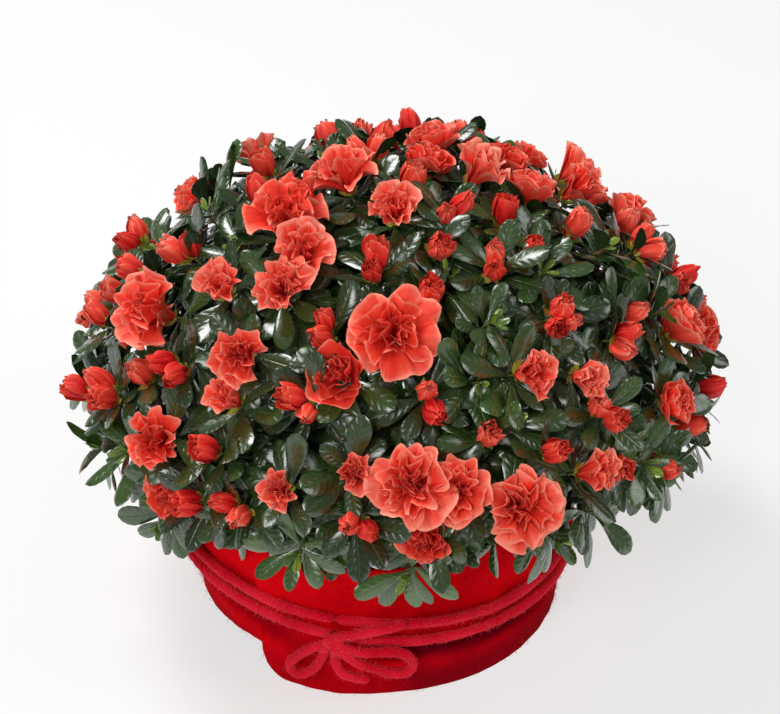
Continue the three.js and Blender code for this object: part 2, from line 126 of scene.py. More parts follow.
def square_to(axis: Array, hint: Array) -> tuple[Array, Array]:
    """Two directions square to an axis and to each other, the first as near a hint as can be.

    Args:
        axis: Unit directions, one to a row.
        hint: Directions that the first result leans to.

    Returns:
        The two directions, row by row.
    """
    first = hint - axis * np.sum(axis * hint, axis=-1, keepdims=True)
    flat = np.linalg.norm(first, axis=-1, keepdims=True) < TINY
    first = np.where(flat, np.array([1.0, 0.0, 0.0]) - axis * axis[..., :1], first)
    first = unit(first)
    return first, np.cross(axis, first)


def run_along(points: Array) -> Array:
    """How far along a line each of its points lies."""
    return np.concatenate([[0], np.cumsum(np.linalg.norm(np.diff(points, axis=0), axis=1))])


def smooth_route(points: Sequence[Sequence[float]], steps: int) -> Array:
    """A smooth curve through points, at even steps along its length.

    Args:
        points: The points that the curve passes through.
        steps: How many stretches the curve is cut into.

    Returns:
        The curve's points, one more than the stretches.
    """
    fine_steps = 24
    knots = np.array(points, float)
    ends = np.vstack([2 * knots[0] - knots[1], knots, 2 * knots[-1] - knots[-2]])
    fine = []
    for i in range(len(knots) - 1):
        before, start, end, after = ends[i : i + 4]
        leave, arrive = 0.5 * (end - before), 0.5 * (after - start)
        for t in np.linspace(0, 1, fine_steps, endpoint=False):
            cubic = (2 * start - 2 * end + leave + arrive) * t**3
            square = (-3 * start + 3 * end - 2 * leave - arrive) * t**2
            fine.append(cubic + square + leave * t + start)
    route = np.array([*fine, knots[-1]])
    run = run_along(route)
    marks = np.linspace(0, run[-1], steps + 1)
    return np.stack([np.interp(marks, run, route[:, axis]) for axis in range(3)], axis=1)


def length_of(points: Array) -> float:
    """The length of a line of points."""
    return float(run_along(points)[-1])


# ---- Materials ----


class Signal:
    """A value in a material's node tree; sums written with it add Math nodes."""

    def __init__(self, bench: "Bench", socket: bpy.types.NodeSocket) -> None:
        """Wraps one output socket."""
        self.bench = bench
        self.socket = socket

    def _math(self, operation: str, *values: "Signal | float") -> "Signal":
        """One Math node on some values."""
        inputs = dict(enumerate(values))
        return self.bench.node("ShaderNodeMath", {"operation": operation}, inputs)

    def __add__(self, other: "Signal | float") -> "Signal":
        """The sum."""
        return self._math("ADD", self, other)

    __radd__ = __add__

    def __sub__(self, other: "Signal | float") -> "Signal":
        """The difference."""
        return self._math("SUBTRACT", self, other)

    def __rsub__(self, other: "Signal | float") -> "Signal":
        """The difference, the other way round."""
        return self._math("SUBTRACT", other, self)

    def __mul__(self, other: "Signal | float") -> "Signal":
        """The product."""
        return self._math("MULTIPLY", self, other)

    __rmul__ = __mul__

    def wave(self) -> "Signal":
        """The sine."""
        return self._math("SINE", self)

    def size(self) -> "Signal":
        """The value without its sign."""
        return self._math("ABSOLUTE", self)

    def between(self, low: float, high: float) -> "Signal":
        """A smooth rise from 0 at low to 1 at high."""
        settings = {"interpolation_type": "SMOOTHSTEP"}
        return self.bench.node("ShaderNodeMapRange", settings, {0: self, 1: low, 2: high})


@dataclass
class Bench:
    """Where one material is made: its node tree and the shader that everything ends in."""

    name: str
    roughness: float = 0.6
    coat: float = 0.0
    coat_roughness: float = 0.1
    sheen: float = 0.0
    sheen_roughness: float = 0.5
    sheen_tint: Colour = (1.0, 1.0, 1.0)
    specular: float = 0.5
    glow: float = 0.0
    material: Material = field(init=False)
    shader: bpy.types.ShaderNode = field(init=False)

    def __post_init__(self) -> None:
        """Makes the material, with the numbers that are the same all over it on the shader."""
        self.material = bpy.data.materials.new(self.name)
        self.material.use_nodes = True
        self.shader = self.material.node_tree.nodes["Principled BSDF"]
        plain = {
            "Roughness": self.roughness, "Coat Weight": self.coat,
            "Coat Roughness": self.coat_roughness, "Sheen Weight": self.sheen,
            "Sheen Roughness": self.sheen_roughness, "Sheen Tint": (*self.sheen_tint, 1.0),
            "Specular IOR Level": self.specular, "Emission Strength": self.glow,
        }
        for socket, value in plain.items():
            self.shader.inputs[socket].default_value = value

    def node(
        self,
        kind: str,
        settings: dict[str, object] | None = None,
        inputs: dict[str | int, object] | None = None,
        output: str | int = 0,
    ) -> Signal:
        """Adds one node.

        Args:
            kind: The node's type.
            settings: Its own settings, set first; "stops" are a ramp's places and colours.
            inputs: Values or signals for its sockets.
            output: The socket that the result is read from.

        Returns:
            The node's output.
        """
        made = self.material.node_tree.nodes.new(kind)
        for name, value in (settings or {}).items():
            if name == "stops":
                self._set_stops(made, value)
            else:
                setattr(made, name, value)
        for socket, value in (inputs or {}).items():
            self.feed(made.inputs[socket], value)
        return Signal(self, made.outputs[output])

    @staticmethod
    def _set_stops(made: bpy.types.Node, stops: Sequence[tuple[float, Colour]]) -> None:
        """Gives a ramp its places and colours.

        Args:
            made: The ramp's node.
            stops: Its places and colours.
        """
        elements = made.color_ramp.elements
        while len(elements) < len(stops):
            elements.new(0.5)
        for element, (place, colour) in zip(elements, stops):
            element.position = place
            element.color = (*colour, 1.0)

    def feed(self, socket: bpy.types.NodeSocket, value: object) -> None:
        """Links a signal to a socket, or sets its plain value.

        Args:
            socket: The socket.
            value: A signal, a number or a colour.
        """
        if isinstance(value, Signal):
            self.material.node_tree.links.new(value.socket, socket)
        elif isinstance(value, tuple) and len(value) == 3 and socket.type == "RGBA":
            socket.default_value = (*value, 1.0)
        else:
            socket.default_value = value

    def attribute(self, name: str) -> Signal:
        """A number that the mesh carries at its points."""
        return self.node("ShaderNodeAttribute", {"attribute_name": name}, output="Fac")

    def place(self) -> Signal:
        """Where a point lies in the shared frame."""
        return self.node("ShaderNodeTexCoord", output="Object")

    def flat(self) -> tuple[Signal, Signal]:
        """The two coordinates of the mesh's own flat map."""
        uv = self.node("ShaderNodeUVMap", {"uv_map": "flat"})
        across = self.node("ShaderNodeSeparateXYZ", inputs={0: uv})
        return across, Signal(self, across.socket.node.outputs[1])

    def grain(self, place: Signal, scale: float, detail: float = 2.0, rough: float = 0.5) -> Signal:
        """Soft random grain, about one over scale across."""
        inputs = {"Vector": place, "Scale": scale, "Detail": detail, "Roughness": rough}
        return self.node("ShaderNodeTexNoise", inputs=inputs)

    def stretched(self, place: Signal, scale: Colour) -> Signal:
        """Coordinates with each axis scaled by its own amount."""
        return self.node("ShaderNodeMapping", inputs={"Vector": place, "Scale": scale})

    def mix(self, share: Signal | float, low: Signal | Colour, high: Signal | Colour) -> Signal:
        """A colour between two."""
        return self.node("ShaderNodeMix", {"data_type": "RGBA"}, {0: share, 6: low, 7: high}, 2)

    def ramp(self, share: Signal, stops: Sequence[tuple[float, Colour]]) -> Signal:
        """A colour read off a row of stops."""
        return self.node("ShaderNodeValToRGB", {"stops": stops}, {0: share})

    def finish(
        self,
        colour: Signal,
        relief: Signal | None = None,
        depth: float = 0.0005,
        strength: float = 1.0,
        roughness: Signal | None = None,
    ) -> Material:
        """Feeds the shader.

        Args:
            colour: The base colour.
            relief: A height from 0 to 1 that the light sees.
            depth: How high 1 stands, in metres.
            strength: How strongly the relief shows.
            roughness: The roughness, where it varies.

        Returns:
            The finished material.
        """
        self.feed(self.shader.inputs["Base Color"], colour)
        # Where glow is set, the base colour also glows: a painted glow on petals and scales, and
        # the even glow of the floor paper.
        if self.glow:
            self.feed(self.shader.inputs["Emission Color"], colour)
        if roughness is not None:
            self.feed(self.shader.inputs["Roughness"], roughness)
        if relief is not None:
            inputs = {"Height": relief, "Distance": depth, "Strength": strength}
            self.feed(self.shader.inputs["Normal"], self.node("ShaderNodeBump", inputs=inputs))
        return self.material


@dataclass(frozen=True)
class LeafFinish:
    """A glossy leaf: a quilted blade, a sunk midrib and a few plain greens by spray."""

    darkest: Colour = (0.012, 0.03, 0.007)
    dark: Colour = (0.03, 0.067, 0.014)
    middle: Colour = (0.06, 0.145, 0.014)
    young: Colour = (0.27, 0.4, 0.03)
    veins: int = 7

    def make(self) -> Material:
        """The material of the leaves."""
        bench = Bench("leaf_gloss", roughness=0.3, coat=1.0, coat_roughness=0.19, specular=0.5)
        across, along = bench.flat()
        side = (across - 0.5).size() * 2.0
        rows = ((along * float(self.veins) - side * 1.25) * TURN).wave()
        midrib = side.between(0.0, 0.13)
        quilt = (rows * 0.5 + 0.5) * side.between(0.05, 0.3) * (1.0 - side.between(0.75, 1.0))
        relief = midrib * 0.6 + quilt * 0.6
        tint = bench.attribute("tint")
        stops = ((0.0, self.darkest), (0.3, self.dark), (0.62, self.middle), (1.0, self.young))
        green = bench.ramp(tint, stops)
        pale = bench.mix((1.0 - midrib) * 0.35, green, self.middle)
        mottle = bench.grain(bench.place(), 160.0, 3.0)
        dusky = bench.mix(0.6, green, self.darkest)
        colour = bench.mix(mottle.between(0.35, 0.8) * 0.35, pale, dusky)
        rough = mottle * 0.16 + 0.2
        return bench.finish(colour, relief, depth=0.0005, strength=0.85, roughness=rough)


@dataclass(frozen=True)
class PetalFinish:
    """A soft petal: deep red in the throat, coral towards its edge, with fine veins. The dark
    throat and the paler rim are partly the petal's own colour and partly painted shade and painted
    highlight, and the petal glows faintly, a painted glow.
    """

    name: str = "petal_silk"
    throat: Colour = (0.26, 0.0, 0.002)
    deep: Colour = (0.62, 0.004, 0.006)
    coral: Colour = (0.89, 0.072, 0.038)
    edge: Colour = (1.0, 0.33, 0.23)
    rim: float = 0.2

    def make(self) -> Material:
        """The material of petals and buds."""
        bench = Bench(
            self.name,
            roughness=0.5, sheen=0.06, sheen_roughness=0.4, sheen_tint=(1.0, 0.75, 0.7),
            # glow: the petals' colour also glows faintly, a painted glow that stands in for light
            # shining through them.
            specular=0.24, glow=0.05,
        )
        across, along = bench.flat()
        flat = bench.node("ShaderNodeCombineXYZ", inputs={0: across, 1: along})
        streak = bench.grain(bench.stretched(flat, (16.0, 1.6, 1.0)), 1.0, 2.0)
        side = (across - 0.5).size() * 2.0
        # A paler rim at the tip and sides: partly the petal's own paler edge, partly painted
        # highlight.
        rim = along.between(0.9, 1.0) + side.between(0.93, 1.0) * along
        # The tone runs from the dark throat to the pale edge: partly the petal's own colour, partly
        # painted shade deep in the flower.
        blush = bench.attribute("blush") + (streak - 0.5) * 0.24 + rim * self.rim
        stops = ((0.0, self.throat), (0.3, self.deep), (0.66, self.coral), (1.0, self.edge))
        colour = bench.ramp(blush, stops)
        crumple = bench.grain(bench.place(), 330.0, 2.0)
        relief = streak * 0.75 + crumple * 0.25
        return bench.finish(colour, relief, depth=0.001, strength=0.7)


@dataclass(frozen=True)
class ScaleFinish:
    """The bud scales and the freshest shoots: yellow-green, with a rusty tip here and there."""

    fresh: Colour = (0.34, 0.42, 0.035)
    pale: Colour = (0.5, 0.46, 0.08)
    rusty: Colour = (0.24, 0.1, 0.025)

    def make(self) -> Material:
        """The material of the scales."""
        # glow: the scales' colour also glows faintly, a painted glow.
        bench = Bench("bud_scale", roughness=0.45, coat=0.15, coat_roughness=0.25, glow=0.03)
        place = bench.place()
        mottle = bench.grain(place, 240.0)
        body = bench.mix(mottle.between(0.35, 0.7), self.fresh, self.pale)
        colour = bench.mix(bench.attribute("tint"), body, self.rusty)
        return bench.finish(colour, mottle, depth=0.0004, strength=0.5)


@dataclass(frozen=True)
class BarkFinish:
    """Thin bark: grey-brown and flaking on old wood, green-brown on the youngest twigs."""

    old: Colour = (0.12, 0.075, 0.045)
    crack: Colour = (0.035, 0.02, 0.012)
    green: Colour = (0.11, 0.12, 0.025)

    def make(self) -> Material:
        """The material of trunk, boughs and twigs."""
        bench = Bench("azalea_bark", roughness=0.85, specular=0.25)
        place = bench.stretched(bench.place(), (1.0, 1.0, 0.35))
        flakes = bench.grain(place, 260.0, 4.0, 0.6)
        wood = bench.mix(flakes.between(0.38, 0.6), self.crack, self.old)
        colour = bench.mix(bench.attribute("green"), wood, self.green)
        return bench.finish(colour, flakes, depth=0.0011, strength=0.9)


@dataclass(frozen=True)
class WoolFinish:
    """Fulled wool: matt and mottled, with a fine nap that catches the light; felt with a shade
    colour gets painted shade where its fold number is high.
    """

    name: str
    deep: Colour
    body: Colour
    fibre: Colour
    haze: float = 0.0
    fibres: float = 900.0
    depth: float = 0.0007
    shade: Colour | None = None

    def make(self) -> Material:
        """The material of felt or cord."""
        bench = Bench(
            self.name,
            roughness=0.95,
            sheen=self.haze,
            sheen_roughness=0.4,
            sheen_tint=(1.0, 0.28, 0.3),
            specular=0.02,
        )
        place = bench.place()
        cloud = bench.grain(place, 38.0, 3.0)
        matted = bench.grain(place, self.fibres * 0.35, 4.0, 0.65)
        hair = bench.grain(bench.stretched(place, (1.0, 1.0, 2.6)), self.fibres, 2.0)
        body = bench.mix(cloud.between(0.3, 0.7), self.deep, self.body)
        colour = bench.mix(hair.between(0.56, 0.78) * 0.5, body, self.fibre)
        # Painted shade: the felt is darkened towards its shade colour in the creases under the cord
        # and low down near the hem.
        if self.shade:
            colour = bench.mix(bench.attribute("fold"), colour, self.shade)
        relief = matted * 0.65 + hair * 0.35
        return bench.finish(colour, relief, depth=self.depth, strength=0.8)


@dataclass(frozen=True)
class PotFinish:
    """Moulded nursery plastic: dull brown, with faint flow marks and dusty scuffs."""

    body: Colour = (0.1, 0.045, 0.03)
    scuff: Colour = (0.2, 0.14, 0.11)

    def make(self) -> Material:
        """The material of the pot."""
        bench = Bench("nursery_pot", roughness=0.55)
        place = bench.place()
        flow = bench.grain(bench.stretched(place, (1.0, 1.0, 0.2)), 60.0, 3.0)
        scuffs = bench.grain(place, 420.0, 5.0, 0.7)
        colour = bench.mix(scuffs.between(0.55, 0.75) * 0.5, self.body, self.scuff)
        relief, gloss = flow * 0.6 + scuffs * 0.4, flow * 0.3 + 0.4
        return bench.finish(colour, relief, depth=0.0003, strength=0.5, roughness=gloss)


@dataclass(frozen=True)
class PeatFinish:
    """Damp peat: nearly black, with paler fibres."""

    damp: Colour = (0.012, 0.007, 0.004)
    fibre: Colour = (0.075, 0.04, 0.02)

    def make(self) -> Material:
        """The material of the peat."""
        bench = Bench("damp_peat", roughness=0.95, specular=0.2)
        place = bench.place()
        crumbs = bench.grain(place, 320.0, 5.0, 0.7)
        shreds = bench.grain(bench.stretched(place, (1.0, 3.0, 1.0)), 140.0, 3.0)
        colour = bench.mix(shreds.between(0.52, 0.7), self.damp, self.fibre)
        return bench.finish(colour, crumbs, depth=0.0016)


@dataclass(frozen=True)
class FloorFinish:
    """Seamless white paper."""

    paper: Colour = (0.35, 0.352, 0.35)
    glow: float = 1.735

    def make(self) -> Material:
        """The material of the floor."""
        bench = Bench("studio_paper", roughness=0.9, specular=0.1, glow=self.glow)
        tooth = bench.grain(bench.place(), 500.0)
        whiter = tuple(min(1.0, part * 1.01) for part in self.paper)
        colour = bench.mix(tooth, self.paper, whiter)
        return bench.finish(colour, tooth, depth=0.0001, strength=0.1)


# ---- Patterns and joined pieces ----


@dataclass(frozen=True)
class Pattern:
    """A plain shape that is bent many times over: points, faces and flat coordinates."""

    points: Array
    faces: tuple[tuple[int, ...], ...]
    flat: Array

    @classmethod
    def sheet(cls, across: int, along: int) -> "Pattern":
        """A flat sheet: x from -1 to 1 across it and y from 0 to 1 along it.

        Args:
            across: How many faces lie side by side.
            along: How many lie end to end.

        Returns:
            The pattern.
        """
        mesh = bmesh.new()
        bmesh.ops.create_grid(mesh, x_segments=across, y_segments=along, size=1.0)
        pattern = cls._read(mesh, lambda point: (point.x * 0.5 + 0.5, point.y * 0.5 + 0.5))
        pattern.points[:, 1] = pattern.points[:, 1] * 0.5 + 0.5
        return pattern

    @classmethod
    def leaf(cls) -> "Pattern":
        """A sheet for a leaf, with its rows drawn closer together towards the tip."""
        pattern = cls.sheet(4, 7)
        crowding = 1.5
        pattern.points[:, 1] = 1 - (1 - pattern.points[:, 1]) ** crowding
        pattern.flat[:, 1] = pattern.points[:, 1]
        return pattern

    @classmethod
    def rod(cls, sides: int, cuts: int) -> "Pattern":
        """A closed round rod of radius 1: z from 0 to 1 along it.

        Args:
            sides: How many sides it has.
            cuts: How many rings lie between its ends.

        Returns:
            The pattern.
        """
        mesh = bmesh.new()
        bmesh.ops.create_cone(
            mesh, cap_ends=True, segments=sides, radius1=1.0, radius2=1.0, depth=1.0
        )
        upright = [
            edge for edge in mesh.edges if abs(edge.verts[0].co.z - edge.verts[1].co.z) > 0.5
        ]
        bmesh.ops.subdivide_edges(mesh, edges=upright, cuts=cuts)
        pattern = cls._read(
            mesh, lambda point: (math.atan2(point.y, point.x) / TURN + 0.5, point.z + 0.5)
        )
        pattern.points[:, 2] += 0.5
        return pattern

    def rings(self, steps: int) -> Array:
        """Which ring of a rod each of its points lies on, where the rod has so many steps."""
        return np.rint(self.points[:, 2] * steps).astype(int)

    @classmethod
    def _read(
        cls, mesh: bmesh.types.BMesh, flat: Callable[[Vector], tuple[float, float]]
    ) -> "Pattern":
        """Takes the points and faces out of a mesh and frees it.

        Args:
            mesh: The mesh, which is freed.
            flat: The flat place of a point.

        Returns:
            The pattern.
        """
        mesh.verts.ensure_lookup_table()
        points = np.array([tuple(vert.co) for vert in mesh.verts])
        faces = tuple(tuple(vert.index for vert in face.verts) for face in mesh.faces)
        places = np.array([flat(vert.co) for vert in mesh.verts])
        mesh.free()
        return cls(points, faces, places)


@dataclass
class Joined:
    """Many bent patterns that become one piece."""

    name: str
    blocks: list[tuple[Pattern, Array, dict[str, Array]]] = field(default_factory=list)

    def add(self, pattern: Pattern, places: Array, **numbers: Array) -> None:
        """Adds copies of a pattern.

        Args:
            pattern: The pattern that was bent.
            places: The points of each copy.
            **numbers: What the points carry, with one number to a copy or one to a point.
        """
        count, size = places.shape[:2]
        full = {}
        for name, values in numbers.items():
            table = np.asarray(values, float)
            table = table[:, None] if table.ndim == 1 else table
            full[name] = np.broadcast_to(table, (count, size))
        self.blocks.append((pattern, places, full))

    def make(self) -> Piece:
        """Builds the piece as one mesh with its flat map and its numbers."""
        points: list[Array] = []
        faces: list[tuple[int, ...]] = []
        flats: list[Array] = []
        numbers: dict[str, list[Array]] = {}
        start = 0
        for pattern, places, carried in self.blocks:
            for _ in range(len(places)):
                faces += [tuple(corner + start for corner in face) for face in pattern.faces]
                start += len(pattern.points)
            points.append(places.reshape(-1, 3))
            flats.append(np.tile(pattern.flat, (len(places), 1)))
            for name, values in carried.items():
                numbers.setdefault(name, []).append(values.reshape(-1))
        mesh = bpy.data.meshes.new(self.name)
        mesh.from_pydata(np.concatenate(points).tolist(), [], faces)
        flat = np.concatenate(flats)
        corners = np.empty(len(mesh.loops), dtype=np.int32)
        mesh.loops.foreach_get("vertex_index", corners)
        layer = mesh.uv_layers.new(name="flat")
        layer.data.foreach_set("uv", flat[corners].astype(np.float32).ravel())
        for name, values in numbers.items():
            data = mesh.attributes.new(name, "FLOAT", "POINT").data
            data.foreach_set("value", np.concatenate(values).astype(np.float32))
        mesh.shade_smooth()
        return placed(self.name, mesh)


def placed(name: str, mesh: bpy.types.Mesh) -> Piece:
    """Links a mesh to the scene as an object.

    Args:
        name: The object's name.
        mesh: Its mesh, in the shared frame.

    Returns:
        The new object.
    """
    piece = bpy.data.objects.new(name, mesh)
    bpy.context.scene.collection.objects.link(piece)
    return piece


def worked(name: str, mesh: bmesh.types.BMesh, smooth: bool = True) -> Piece:
    """Ends the work on a mesh and links it to the scene.

    Args:
        name: The object's name.
        mesh: The mesh as worked, which is freed.
        smooth: True where its faces are shaded as one surface.

    Returns:
        The new object.
    """
    data = bpy.data.meshes.new(name)
    mesh.to_mesh(data)
    mesh.free()
    if smooth:
        data.shade_smooth()
    return placed(name, data)


def turned(profile: Sequence[tuple[float, float]], steps: int) -> bmesh.types.BMesh:
    """Turns a profile round the upright axis, as on a lathe.

    Args:
        profile: Its radii and heights in millimetres, from the axis and back to it.
        steps: How many faces go round.

    Returns:
        The closed shape, with its faces outwards.
    """
    mesh = bmesh.new()
    verts = [mesh.verts.new((radius * MM, 0.0, height * MM)) for radius, height in profile]
    edges = [mesh.edges.new(pair) for pair in zip(verts, verts[1:])]
    whole = {"cent": (0, 0, 0), "axis": (0, 0, 1), "angle": TURN, "use_merge": True}
    bmesh.ops.spin(mesh, geom=verts + edges, steps=steps, **whole)
    bmesh.ops.remove_doubles(mesh, verts=mesh.verts, dist=TINY)
    bmesh.ops.recalc_face_normals(mesh, faces=mesh.faces)
    return mesh


def settle(
    piece: Piece, material: Material, slot: str, nodes: Sequence[str] = ()
) -> Piece:
    """Dresses a piece, lets it ride and hides the CAD nodes that it replaces.

    Args:
        piece: The piece.
        material: Its material.
        slot: Not used.
        nodes: The CAD nodes that it replaces.

    Returns:
        The piece.
    """
    piece.data.materials.clear()
    piece.data.materials.append(material)
    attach(piece, ROOT)
    if nodes:
        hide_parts(*nodes)
    triangles = sum(len(face.vertices) - 2 for face in piece.data.polygons)
    LOG.info("%s: %d triangles", piece.name, triangles)
    return piece


def bent_rods(pattern: Pattern, lines: Array, radii: Array) -> Array:
    """Rods bent along lines.

    Args:
        pattern: A rod whose rings lie at even steps.
        lines: For each rod, the centre of each ring from its start to its end.
        radii: For each rod, the radius of each ring.

    Returns:
        The points of each rod.
    """
    steps = lines.shape[1] - 1
    ring = pattern.rings(steps)
    tangents = unit(np.gradient(lines, axis=1))
    hint = np.broadcast_to(unit(np.cross(tangents[:, :1], UP) + 1e-4), tangents.shape)
    first, second = square_to(tangents, hint)
    wide = radii[:, ring, None]
    x, y = pattern.points[:, 0], pattern.points[:, 1]
    return lines[:, ring] + wide * (first[:, ring] * x[:, None] + second[:, ring] * y[:, None])


def hairs(root: Array, out: Array, sweep: Array, length: Array) -> Array:
    """The lines of fine fibres that stand out from wool and bend over.

    Args:
        root: Where each fibre grows.
        out: Where it leaves to.
        sweep: Where it bends to.
        length: How long it is, in a column.

    Returns:
        Three points to each fibre.
    """
    bend = root + (out + sweep * 0.4) * length * 0.5
    tip = bend + (out * 0.4 + sweep) * length * 0.6
    return np.stack([root, bend, tip], axis=1)


def fuzz(name: str, batches: Sequence[Array], radii: Point) -> Piece:
    """Joins fine fibres into one piece.

    Args:
        name: The piece's name.
        batches: Lines of three points each, in metres.
        radii: Each fibre's radius at those points, in millimetres.

    Returns:
        The piece.
    """
    pattern = Pattern.rod(3, 1)
    joined = Joined(name)
    for lines in batches:
        rings = np.tile(np.array(radii) * MM, (len(lines), 1))
        joined.add(pattern, bent_rods(pattern, lines, rings))
    return joined.make()


# ---- Camera, light and floor ----


@dataclass
class Studio:
    """The camera, the lights and the paper floor."""

    target: Point = (0.0052, 0.0096, 0.1433)
    distance: float = 1.6
    elevation: float = 36.0
    lens: float = 138.6
    sensor: float = 36.0
    clip: tuple[float, float] = (0.05, 50.0)
    air: float = 0.16
    lights: tuple[tuple[str, Point, float, float], ...] = (
        ("window_light", (-0.75, 0.55, 1.75), 0.62, 25.0),
        ("front_light", (-0.6, -1.6, 1.5), 0.7, 19.0),
        ("side_fill", (1.3, -0.3, 1.3), 0.8, 8.0),
    )
    floor_half: float = 6.0

    def add_camera(self) -> None:
        """Puts the camera at its place and makes it the scene's own."""
        scene = bpy.context.scene
        data = bpy.data.cameras.new("camera")
        data.lens = self.lens
        data.sensor_width = self.sensor
        data.clip_start, data.clip_end = self.clip
        camera = bpy.data.objects.new("camera", data)
        rise = math.radians(self.elevation)
        back = Vector((0.0, -math.cos(rise), math.sin(rise)))
        camera.location = Vector(self.target) + back * self.distance
        camera.rotation_euler = (-back).to_track_quat("-Z", "Y").to_euler()
        scene.collection.objects.link(camera)
        scene.camera = camera
        scene.view_settings.view_transform = "Standard"

    def add_light(self, name: str, place: Sequence[float], size: float, power: float) -> None:
        """Adds a square soft light that faces the plant.

        Args:
            name: The light's name.
            place: Where it stands.
            size: The length of its sides.
            power: Its power in watts.
        """
        data = bpy.data.lights.new(name, "AREA")
        data.shape = "SQUARE"
        data.size = size
        data.energy = power
        light = bpy.data.objects.new(name, data)
        light.location = place
        aim = Vector(self.target) - Vector(place)
        light.rotation_euler = aim.to_track_quat("-Z", "Y").to_euler()
        bpy.context.scene.collection.objects.link(light)

    def light_up(self) -> None:
        """Sets the sky and the soft lights."""
        world = bpy.data.worlds.new("studio_air")
        world.use_nodes = True
        backdrop = world.node_tree.nodes["Background"]
        backdrop.inputs["Color"].default_value = (1.0, 1.0, 1.0, 1.0)
        backdrop.inputs["Strength"].default_value = self.air
        bpy.context.scene.world = world
        for name, place, size, power in self.lights:
            self.add_light(name, place, size, power)

    def lay_floor(self) -> None:
        """Lays the paper that the pot stands on."""
        mesh = bmesh.new()
        bmesh.ops.create_grid(mesh, x_segments=8, y_segments=8, size=self.floor_half)
        floor = worked("paper_floor", mesh, smooth=False)
        floor.data.materials.append(FloorFinish().make())


# ---- Wrap and cord ----


